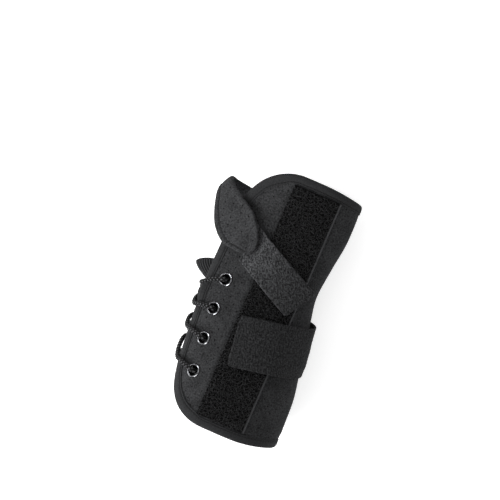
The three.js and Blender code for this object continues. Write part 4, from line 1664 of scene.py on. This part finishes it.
@dataclass
class ThumbStrap(WebbingStrap):
    """Narrower webbing strap, sewn under the thumb tab and closed on the pile."""

    piece: str = "thumb_webbing"
    node: str = "thumb_strap"
    width: float = 27.6
    length: float = field(init=False)
    corner: float = 2.2
    grid: float = 0.5
    nap: tuple[Nap, Nap] = (Nap(0.11, 2.2, seed=31), Nap(0.18, 13.0, seed=32))
    # The thumb strap's start is painted paler, a painted sheen.
    painted_sheen: float = 1.0
    start: tuple[float, float] = (-25.5, 40.5)
    end: tuple[float, float] = (31.0, 9.6)
    skew: float = 12.7
    pile_radial: float = -6.0
    climb: tuple[float, float] = (-9.0, -1.0)

    def __post_init__(self) -> None:
        """Work out the length of the strap and its direction in plan."""
        self.length = math.dist(self.start, self.end)
        self.east, self.north = ((end - start) / self.length for start, end in zip(self.start, self.end))

    def ends(self, off: Array, inset: float | Array) -> tuple[float | Array, float | Array]:
        """Runs at the slanted sewn end, and at the closed end with its corners drawn in."""
        return self.skew * (0.5 - off / self.width), self.length - inset

    def plan(self, run: Array, off: Array) -> tuple[Array, Array]:
        """Plan place of a run along the strap and an offset across it."""
        out, up = self.turned(run, off)
        return self.start[0] + out, self.start[1] + up

    def place(self, run: Array, off: Array) -> tuple[Array, Array]:
        """Length round the section and level of a run along the strap and an offset across it."""
        x, y = self.plan(run, off)
        return self.form.around_at(x, y), y

    def from_start(self, x: Array, y: Array) -> tuple[Array, Array]:
        """How far plan places lie from the start, across the wrap and along it."""
        return x - self.start[0], y - self.start[1]

    def underside(self, run: Array, off: Array) -> Array:
        """Height of the underside, which climbs from the wrap onto the pile."""
        x, _ = self.plan(run, off)
        return mix(SEAM_GAP, self.pile_top + SEAM_GAP, smooth(x - self.pile_radial, *self.climb))


@dataclass
class PileStrip:
    """Strip of loop pile along the dorsal side: its ground and its loops."""

    form: WrapForm
    forearm: ForearmStrap
    thumb: ThumbStrap
    radial: float = -6.0
    ulnar: float = 31.0
    proximal: float = -92.1
    distal: float = 89.8
    across_step: float = 0.7
    along_step: float = 1.0
    rounding: float = 0.4
    edge_fall: float = 0.8
    under_height: float = 0.24
    under_fall: float = 0.4
    ground_height: float = 1.15
    selvage: float = 1.4
    selvage_inside: float = 0.75
    selvage_cord: float = 0.5
    loop_top: float = 2.35
    loop_seed: int = 7
    loop_pitch: float = 1.3
    loop_stray: float = 0.65
    loop_reach: tuple[float, float] = (0.8, 1.45)
    loop_lean: float = 0.9
    loop_rise: tuple[float, float] = (0.7, 1.0)
    loop_points: int = 6
    loop_inset: tuple[float, float, float] = (0.8, 1.0, 0.8)
    strap_margin: float = 1.0
    yarn_radius: float = 0.25
    yarn_sides: int = 3

    def build(self, ground: Material, yarn: Material) -> list[Piece]:
        """Lay the ground, with a corded selvage at its ulnar edge, then stand the loops on it.

        Args:
            ground: Material of the ground.
            yarn: Material of the loops.

        Returns:
            The ground and the loops.
        """
        width, length = self.ulnar - self.radial, self.distal - self.proximal
        across = edge_steps(width, self.across_step, self.rounding)
        along = edge_steps(length, self.along_step, self.rounding)[:, None]
        x, y = np.broadcast_arrays(self.radial + across, self.proximal + along)
        from_ulnar = width - across
        edge = np.minimum(np.minimum(across, from_ulnar), np.minimum(along, length - along))
        fall = edge_drop(edge, self.rounding)
        on_selvage = 1 - smooth(from_ulnar, self.selvage * self.selvage_inside, self.selvage)
        cord = self.selvage_cord * bell(from_ulnar - self.selvage / 2, self.selvage_cord)
        outer = self.form.dorsal(x, y, self.ground_height + cord - fall * self.edge_fall)
        inner = self.form.dorsal(x, y, self.under_height + fall * self.under_fall)
        draft = MeshDraft()
        draft.add_sheet(outer, inner, pattern_grid(x, y, on_selvage))
        piece = place_piece(draft, "pile_ground", ground, ("pile_strip",))
        return [piece, self.stand_loops(yarn)]

    def stand_loops(self, yarn: Material) -> Piece:
        """Stand one loop of yarn at each stitch that no strap covers, each leaning its own way.

        Args:
            yarn: Material of the loops.

        Returns:
            The loops, as one piece.
        """
        rng = np.random.default_rng(self.loop_seed)
        side_inset, proximal_inset, distal_inset = self.loop_inset
        columns = np.arange(self.radial + side_inset, self.ulnar - self.selvage, self.loop_pitch)
        rows = np.arange(self.proximal + proximal_inset, self.distal - distal_inset, self.loop_pitch)
        x, y = (part.ravel() for part in np.meshgrid(columns, rows))
        x = x + rng.uniform(-self.loop_stray, self.loop_stray, len(x))
        y = y + rng.uniform(-self.loop_stray, self.loop_stray, len(y))
        straps = (self.forearm, self.thumb)
        bare = ~np.any([strap.covers(x, y, self.strap_margin) for strap in straps], axis=0)
        x, y = x[bare][:, None], y[bare][:, None]
        around = self.form.around_at(x, y)
        shape = (len(y), 1)
        turn = rng.uniform(0, 2 * math.pi, shape)
        reach = rng.uniform(*self.loop_reach, shape)
        lean = rng.uniform(-self.loop_lean, self.loop_lean, shape)
        rise = rng.uniform(*self.loop_rise, shape) * (self.loop_top - self.ground_height - self.yarn_radius)
        angle = np.linspace(0.0, math.pi, self.loop_points)
        out = -np.cos(angle) * reach
        side = np.sin(angle) ** 2 * lean
        path_around = around + out * np.cos(turn) - side * np.sin(turn)
        path_y = y + out * np.sin(turn) + side * np.cos(turn)
        paths = self.form.skin(path_around, path_y, self.ground_height + np.sin(angle) * rise)
        return place_piece(tubes(paths, self.yarn_radius, self.yarn_sides), "pile_loops", yarn)


@dataclass
class ThumbTab:
    """Leaf-shaped tab from the palmar side through the thumb web to the dorsal side."""

    thickness: float = 2.4
    along_step: float = 0.9
    across_steps: int = 44
    edge_crowding: float = 0.6
    course_points: int = 1200
    tip_length: float = 3.5
    tip_rounding: float = 0.28
    edge_radius: float = 1.1
    edge_fall: float = 0.95
    band: float = 4.5
    band_rise: float = 0.35
    band_step: tuple[float, float] = (0.6, -0.8)
    wide: tuple[float, float] = (8.0, 14.0)
    seam_depth: float = 0.55
    seam_width: float = 0.55
    roll_height: float = 0.75
    roll_inset: float = 1.6
    roll_width: float = 3.2
    roll_from: tuple[float, float] = (40.0, 60.0)
    nap: tuple[Nap, Nap] = (Nap(0.22, 16.0, seed=41), Nap(0.06, 3.2, seed=42))
    soft_border: float = 4.0
    grain_shift: float = 30.0
    stitch_room: float = 4.0
    stitch_ends: tuple[float, float] = (2.0, 3.0)
    stitch_pitch: float = 2.9
    stitch_length: float = 2.1
    stitch_rise: float = 0.05
    thread_radius: float = 0.27

    def grid(self) -> tuple[Array, Array, Array]:
        """Middle surface of the tab, with its running lengths along and across.

        Returns:
            Points by row and column from the far edge to the near one, lengths along, lengths across.
        """
        near = np.array([row.near for row in TAB_STATIONS])
        far = np.array([row.far for row in TAB_STATIONS])
        crowns = np.array([row.crown for row in TAB_STATIONS])
        fine = np.linspace(0.0, 1.0, self.course_points)
        lengths = run_lengths((round_curve(near, fine) + round_curve(far, fine)) / 2)
        along = even_steps(0.0, lengths[-1], self.along_step)
        v = np.interp(along, lengths, fine)
        near_line, far_line = round_curve(near, v), round_curve(far, v)
        tip = smooth(along, lengths[-1] - self.tip_length, lengths[-1])[:, None] ** 2 * self.tip_rounding
        near_line, far_line = mix(near_line, far_line, tip), mix(far_line, near_line, tip)
        travel = unit(np.gradient(near_line, axis=0)) + unit(np.gradient(far_line, axis=0))
        up = unit(np.cross(travel, far_line - near_line))
        crown = np.interp(v * (len(crowns) - 1), np.arange(len(crowns)), crowns)
        even = np.linspace(0.0, 1.0, self.across_steps + 1)
        crowded = 0.5 - 0.5 * np.cos(math.pi * even)
        u = mix(even, crowded, self.edge_crowding)
        points = mix(far_line[:, None, :], near_line[:, None, :], u[:, None])
        points = points + up[:, None, :] * (crown[:, None] * 4 * u * (1 - u))[..., None]
        return points, along, run_lengths(points)

    def build(self, finish: Material, thread: Material) -> list[Piece]:
        """Shape the leaf: a bound near edge with its seam, a rolled far edge and a soft middle.

        Args:
            finish: Material of the leaf.
            thread: Material of the thread.

        Returns:
            The leaf and its stitches.
        """
        points, along, across = self.grid()
        normal = grid_normals(points)
        from_far, from_near = across, across[:, -1:] - across
        from_end = np.minimum(along, along[-1] - along)[:, None]
        edge = np.minimum(np.minimum(from_far, from_near), from_end)
        drop = edge_drop(edge, self.edge_radius) * self.edge_fall
        run = np.broadcast_to(along[:, None], across.shape)
        wide = smooth(across[:, -1:], *self.wide)
        past_band = from_near - self.band
        seam = -self.seam_depth * bell(past_band, self.seam_width) * wide
        bound = self.band_rise * smooth(past_band, *self.band_step) * wide
        rolled = self.roll_height * bell(from_far - self.roll_inset, self.roll_width)
        rolled = rolled * smooth(run, *self.roll_from)
        coarse, fine = (nap.height * uneven(run, across, nap.length, nap.seed) for nap in self.nap)
        soft = (coarse + fine) * smooth(edge, 0.0, self.soft_border)
        lift = self.thickness / 2 + seam + bound + rolled + soft - drop
        outer = points + normal * lift[..., None]
        inner = points - normal * (self.thickness / 2 - drop)[..., None]
        draft = MeshDraft()
        draft.add_sheet(outer, inner, pattern_grid(across, run, self.grain_shift))
        piece = place_piece(draft, "thumb_leaf", finish, ("thumb_tab",))
        return [piece, self.sew(points, normal, from_near, lift, thread)]

    def sew(self, points: Array, normal: Array, from_near: Array, lift: Array, thread: Material) -> Piece:
        """Lay stitches in the seam beside the bound edge, where the leaf is wide enough.

        Args:
            points: Middle surface of the leaf.
            normal: Its normals.
            from_near: Distance of each point from the bound edge.
            lift: Height of the outer face over the middle surface.
            thread: Material of the thread.

        Returns:
            The stitches.
        """
        seam = []
        for row in np.nonzero(from_near[:, 0] > self.band + self.stitch_room)[0]:
            away = from_near[row, ::-1]
            place = along_line(points[row, ::-1], away, self.band)
            up = along_line(normal[row, ::-1], away, self.band)
            height = float(np.interp(self.band, away, lift[row, ::-1]))
            seam.append(place + unit(up) * (height + self.stitch_rise))
        line = np.array(seam)
        lengths = run_lengths(line)
        first, last = self.stitch_ends
        starts = np.arange(first, lengths[-1] - last, self.stitch_pitch)
        runs = starts[:, None] + np.linspace(0.0, 1.0, STITCH_POINTS) * self.stitch_length
        stitches = tubes(along_line(line, lengths, runs), self.thread_radius, THREAD_SIDES)
        return place_piece(stitches, "leaf_stitches", thread)


@dataclass
class RibbedTongue:
    """Ribbed tongue behind the lacing, sewn inside the palmar flap, with one flared corner, its ear."""

    pattern: WrapPattern
    under: float = -14.0
    seam: float = 31.0
    seam_width: float = 5.0
    seam_rise: float = 7.0
    depth: float = 9.9
    seam_height: float = -4.7
    proximal: float = -75.0
    distal: float = 18.4
    ear_lift: float = 21.0
    ear_across: float = 11.0
    ear_rise: float = 17.0
    ear_foot: float = -6.0
    ear_top: float = 11.0
    ear_slant: float = 4.1
    ear_end: float = 15.0
    ear_shoulder: float = 9.0
    thickness: float = 1.8
    edge_radius: float = 0.9
    edge_fall: float = 0.9
    rib_pitch: float = 2.1
    rib_height: float = 0.42
    rib_fade: tuple[float, float] = (0.5, 2.0)
    rows: int = 120
    columns: int = 240

    @property
    def length(self) -> float:
        """Length of the tongue along the wrap."""
        return self.distal - self.proximal

    def middle(self, u: Array, v: Array) -> Array:
        """Middle surface of the tongue.

        Args:
            u: Shares from the palmar seam to under the dorsal flap.
            v: Shares from the proximal end to the distal one.

        Returns:
            Points, with 3 as the last axis.
        """
        level = mix(self.proximal, self.distal, v)
        wide = self.pattern.open_width(level) + self.seam
        ear = smooth(level, self.ear_foot - self.ear_shoulder, self.ear_foot + self.ear_shoulder)
        past = mix(mix(wide, self.ear_end, ear), self.under, u)
        y = level - self.ear_slant * (np.maximum(past, 0) / self.ear_across) ** 2 * ear ** 2
        sewn = smooth(past, wide - self.seam_width - self.seam_rise, wide - self.seam_width) * (1 - ear)
        flare = self.ear_lift * smooth(past, 0, self.ear_rise) * smooth(y, self.ear_foot, self.ear_top) * ear
        return self.pattern.lacing(past, y, mix(-self.depth, self.seam_height, sewn) + flare)

    def build(self, finish: Material) -> list[Piece]:
        """Hang the tongue and knit its ribs.

        Args:
            finish: Material of the knit.

        Returns:
            The tongue.
        """
        v = np.linspace(0.0, 1.0, self.rows)[:, None]
        u = np.linspace(0.0, 1.0, self.columns)[None, :]
        points = self.middle(*np.broadcast_arrays(u, v))
        normal = grid_normals(points)
        across = run_lengths(points)
        along = np.broadcast_to(v * self.length, across.shape)
        edge = np.minimum(np.minimum(across, across[:, -1:] - across), np.minimum(along, along[-1:] - along))
        drop = edge_drop(edge, self.edge_radius) * self.edge_fall
        ribs = np.cos(2 * math.pi * across / self.rib_pitch) * smooth(edge, *self.rib_fade)
        top = self.thickness / 2 + self.rib_height * ribs - drop
        outer = points + normal * top[..., None]
        inner = points - normal * (self.thickness / 2 - drop)[..., None]
        draft = MeshDraft()
        # The third pattern coordinate marks the rib tops, which the knit's material paints lighter than the
        # grooves, as painted light and shade.
        draft.add_sheet(outer, inner, pattern_grid(across, along, 0.5 + 0.5 * ribs))
        piece = place_piece(draft, "tongue_knit", finish, ("tongue",))
        return [piece]


class LaceStop(NamedTuple):
    """One pass of the lace at the place of its eyelet."""

    row: EyeletRow
    way: Way
    drift: float
    sweep: float
    past: float
    y: float


class LacePoint(NamedTuple):
    """One point of the lace: past the dorsal flap's edge, level, and height above the form."""

    past: float
    y: float
    height: float


@dataclass
class BraidedLace:
    """Round braided lace through both rows of eyelets."""

    pattern: WrapPattern
    eyelets: EyeletSet
    radius: float = 1.65
    over: float = 2.5
    over_edge: float = 1.75
    under: float = -6.9
    cross_over: float = -0.5
    cross_under: float = -4.4
    bar: float = -0.8
    turn: float = 2.6
    lean: float = 1.1
    clear: float = 1.5
    end_gap: float = 0.5
    hole_share: float = 0.15
    run_share: float = 0.55
    course_points: int = 12000
    strands: int = 3
    strand_pitch: float = 2.7
    strand_height: float = 0.4
    strand_middle: float = 0.75
    step: float = 0.3
    sides: int = 36

    def turn_through(self, stop: LaceStop, before: LacePoint, after: LacePoint) -> list[LacePoint]:
        """Turn of the lace from one face of the flap to the other, in line with its runs on both sides.

        Args:
            stop: The pass through the eyelet.
            before: Point of the lace before the turn.
            after: Point of the lace after it.

        Returns:
            Five points, the middle one in the eyelet.
        """
        start = self.under if stop.way is Way.OUT else self.over
        end = self.over if stop.way is Way.OUT else self.under

        def toward(point: LacePoint, reach: float, height: float) -> LacePoint:
            """Point of the turn at a reach toward one of its runs."""
            share = reach / abs(point.past - stop.past)
            return LacePoint(mix(stop.past, point.past, share), mix(stop.y, point.y, share), height)

        inside = self.turn * self.hole_share
        outer = after if stop.way is Way.OUT else before
        return [
            toward(before, self.turn, start),
            toward(before, inside, mix(start, end, self.hole_share)),
            toward(outer, self.lean, mix(start, end, 0.5)),
            toward(after, inside, mix(start, end, 1 - self.hole_share)),
            toward(after, self.turn, end),
        ]

    def crossing(self, start: LaceStop, end: LaceStop) -> list[LacePoint]:
        """Run of the lace from one flap to the other, over or under each edge.

        Args:
            start: The pass that it leaves.
            end: The pass that it comes to.

        Returns:
            Five points, the middle one between the two flaps.
        """
        leaves_over, arrives_over = start.way is Way.OUT, end.way is Way.IN
        from_dorsal, to_dorsal = start.row is EyeletRow.DORSAL, end.row is EyeletRow.DORSAL
        dorsal_over = leaves_over if from_dorsal else arrives_over
        between = self.cross_over if dorsal_over else self.cross_under
        middle = (self.bar if leaves_over else self.under) if leaves_over == arrives_over else between
        beside = start if from_dorsal else end
        drift, sweep = (beside.drift, beside.sweep) if dorsal_over else (0.0, 0.0)
        shifts = [drift * self.run_share, drift, sweep, sweep, sweep * self.run_share]
        if to_dorsal:
            shifts.reverse()
        open_width = float(self.pattern.open_width((start.y + end.y) / 2))
        leave = self.clear if from_dorsal else open_width - self.clear
        arrive = self.clear if to_dorsal else open_width - self.clear
        first, first_edge = (self.over, self.over_edge) if leaves_over else (self.under, self.under)
        last, last_edge = (self.over, self.over_edge) if arrives_over else (self.under, self.under)
        heights = (first, first_edge, middle, last_edge, last)
        pasts = (mix(start.past, leave, self.run_share), leave, (leave + arrive) / 2, arrive,
                 mix(end.past, arrive, self.run_share))
        points = []
        for past, shift, height in zip(pasts, shifts, heights):
            share = (past - start.past) / (end.past - start.past)
            points.append(LacePoint(past, mix(start.y, end.y, share) + shift, height))
        return points

    def route(self) -> Array:
        """Centre line of the lace, from the middle of the bar behind the lowest eyelets and back to it.

        Returns:
            Points of the line, one row each.
        """
        stops = []
        for row, number, way, drift, sweep in LACE_PASSES:
            place = self.eyelets.find(row, number)
            stops.append(LaceStop(row, way, drift, sweep, place.past, place.y))
        runs = [self.crossing(stop, following) for stop, following in zip(stops, stops[1:] + stops[:1])]
        bar = runs[-1]
        line = []
        for index, stop in enumerate(stops):
            line += self.turn_through(stop, runs[index - 1][-1], runs[index][0])
            line += [] if runs[index] is bar else runs[index]
        half = len(bar) // 2
        ending = bar[half]._replace(past=bar[half].past + self.end_gap / 2)
        beginning = bar[half]._replace(past=bar[half].past - self.end_gap / 2)
        line = [beginning, *bar[half + 1:], *line, *bar[:half], ending]
        past, y, height = (np.array(column, dtype=float) for column in zip(*line))
        return self.pattern.lacing(past, y, height)

    def build(self, finish: Material) -> list[Piece]:
        """Braid the lace along its route.

        Args:
            finish: Material of the yarn.

        Returns:
            The lace.
        """
        course = round_curve(self.route(), np.linspace(0.0, 1.0, self.course_points))
        lengths = run_lengths(course)
        along = even_steps(0.0, lengths[-1], self.step)
        line = along_line(course, lengths, along)
        tangent = unit(np.gradient(line, axis=0))
        east = np.zeros_like(line)
        east[0] = unit(np.cross(tangent[0], UP))
        for index in range(1, len(line)):
            east[index] = unit(east[index - 1] - tangent[index] * (east[index - 1] @ tangent[index]))
        angles = ring_angles(self.sides)
        relief = self.braid(angles, along[:, None])
        radius = self.radius + self.strand_height * (relief - self.strand_middle)
        rings = line[:, None, :] + spokes(angles, east, np.cross(tangent, east)) * radius[..., None]
        draft = MeshDraft()
        # The third pattern coordinate is the braid's relief, which the yarn's material turns into a painted
        # highlight on strand tops and painted shade in the grooves.
        draft.add_rings(rings, pattern_grid(along[:, None], angles * self.radius, relief), closed=False)
        return [place_piece(draft, "braided_lace", finish, ("lace",))]

    def braid(self, angle: Array, along: Array) -> Array:
        """Height of the upper strand of the braid.

        Args:
            angle: Angles round the lace.
            along: Running lengths along it.

        Returns:
            Heights from 0 in the grooves to 1 on top of a strand.
        """
        turn = angle * self.strands / (2 * math.pi)
        right, left = turn + along / self.strand_pitch, turn - along / self.strand_pitch
        right_up = (np.floor(right) + np.floor(left)) % 2 < 1
        across = np.where(right_up, right, left) % 1.0
        length = np.where(right_up, left, right) % 1.0
        return np.sqrt(np.clip(1 - (2 * across - 1) ** 2, 0.0, 1.0)) * np.sin(math.pi * length) ** 0.5


@dataclass
class Studio:
    """Pale floor, soft light and a camera above, in metres, watts and degrees, its sensor in millimetres."""

    floor_size: float = 12.0
    floor_grey: float = 0.95
    floor_glow: float = 0.5
    view_centre: tuple[float, float] = (-0.01803, 0.03371)
    view_width: float = 0.370
    view_height: float = 0.030
    camera_distance: float = 2.4
    camera_turn: float = 23.3
    sensor: float = 36.0
    light_distance: float = 1.6
    world: float = 0.68

    def build(self) -> None:
        """Set up the floor, the lights, the camera and the view."""
        self.lay_floor()
        self.hang_lights()
        self.set_camera()
        bpy.context.scene.view_settings.view_transform = "Standard"

    def lay_floor(self) -> None:
        """Lay a plain white floor under the object."""
        half = self.floor_size / 2
        mesh = bpy.data.meshes.new("studio_floor")
        mesh.from_pydata([(-half, -half, 0), (half, -half, 0), (half, half, 0), (-half, half, 0)], [],
                         [(0, 1, 2, 3)])
        floor = bpy.data.objects.new("studio_floor", mesh)
        bpy.context.scene.collection.objects.link(floor)
        board = NodeBoard("floor_paint")
        board.feed(board.shader.inputs["Base Color"], (self.floor_grey,) * 3 + (1.0,))
        board.feed(board.shader.inputs["Emission Color"], WHITE)
        board.feed(board.shader.inputs["Emission Strength"], self.floor_glow)
        board.gloss(roughness=0.95, specular=0.1)
        mesh.materials.append(board.material)

    def hang_lights(self) -> None:
        """Hang a large soft light low on the radial side and two cards for the metal, in a pale surround."""
        world = bpy.data.worlds.new("studio_surround")
        world.use_nodes = True
        backdrop = world.node_tree.nodes["Background"]
        backdrop.inputs["Color"].default_value = WHITE
        backdrop.inputs["Strength"].default_value = self.world
        bpy.context.scene.world = world
        for row in LIGHTS:
            light = bpy.data.lights.new(row.name, "AREA")
            light.energy = row.power
            light.size = row.size
            lamp = bpy.data.objects.new(row.name, light)
            lamp.visible_glossy, lamp.visible_diffuse = row.on_metal, not row.on_metal
            turn, rise = math.radians(row.turn), math.radians(row.rise)
            level = math.cos(rise)
            toward = Vector((math.cos(turn) * level, math.sin(turn) * level, math.sin(rise)))
            lamp.location = toward * self.light_distance
            lamp.rotation_euler = toward.to_track_quat("Z", "Y").to_euler()
            bpy.context.scene.collection.objects.link(lamp)

    def set_camera(self) -> None:
        """Set the camera straight above, turned so that the wrap leans as it does in the photograph."""
        lens = bpy.data.cameras.new("view")
        lens.sensor_width = self.sensor
        lens.lens = self.sensor * self.camera_distance / self.view_width
        camera = bpy.data.objects.new("view", lens)
        camera.location = (*self.view_centre, self.view_height + self.camera_distance)
        camera.rotation_euler = (0.0, 0.0, math.radians(self.camera_turn))
        bpy.context.scene.collection.objects.link(camera)
        bpy.context.scene.camera = camera


def main() -> None:
    """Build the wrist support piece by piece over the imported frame, report each piece, and light it."""
    logging.basicConfig(level=logging.INFO, format="%(name)s: %(message)s")
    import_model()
    form = WrapForm()
    pattern = WrapPattern(form)
    eyelets = EyeletSet(pattern)
    forearm = ForearmStrap(form)
    thumb = ThumbStrap(form)
    wide_webbing = BrushedWebbing("wide_webbing", dark=0.003, light=0.029, lie=102.0)
    narrow_webbing = BrushedWebbing("narrow_webbing", dark=0.004, light=0.046, lie=142.0)
    leaf_suede = SuedeLaminate("leaf_suede", dark=0.0113, light=0.0375)
    thread = SewingThread().material()
    pieces = [
        *RibbedTongue(pattern).build(RibbedCloth().material()),
        *WrapShell(pattern, eyelets).build(SuedeLaminate().material()),
        *EdgeTape(pattern).build(BindingTape().material(), thread),
        *PileStrip(form, forearm, thumb).build(PileGround().material(), LoopPile().material()),
        *forearm.build(wide_webbing.material()),
        *thumb.build(narrow_webbing.material()),
        *ThumbTab().build(leaf_suede.material(), thread),
        *BraidedLace(pattern, eyelets).build(BraidedCord().material()),
        *eyelets.build(NickelPlate().material()),
    ]
    for piece in pieces:
        LOG.info("%s: %d faces", piece.name, len(piece.data.polygons))
    Studio().build()


if __name__ == "__main__":
    main()
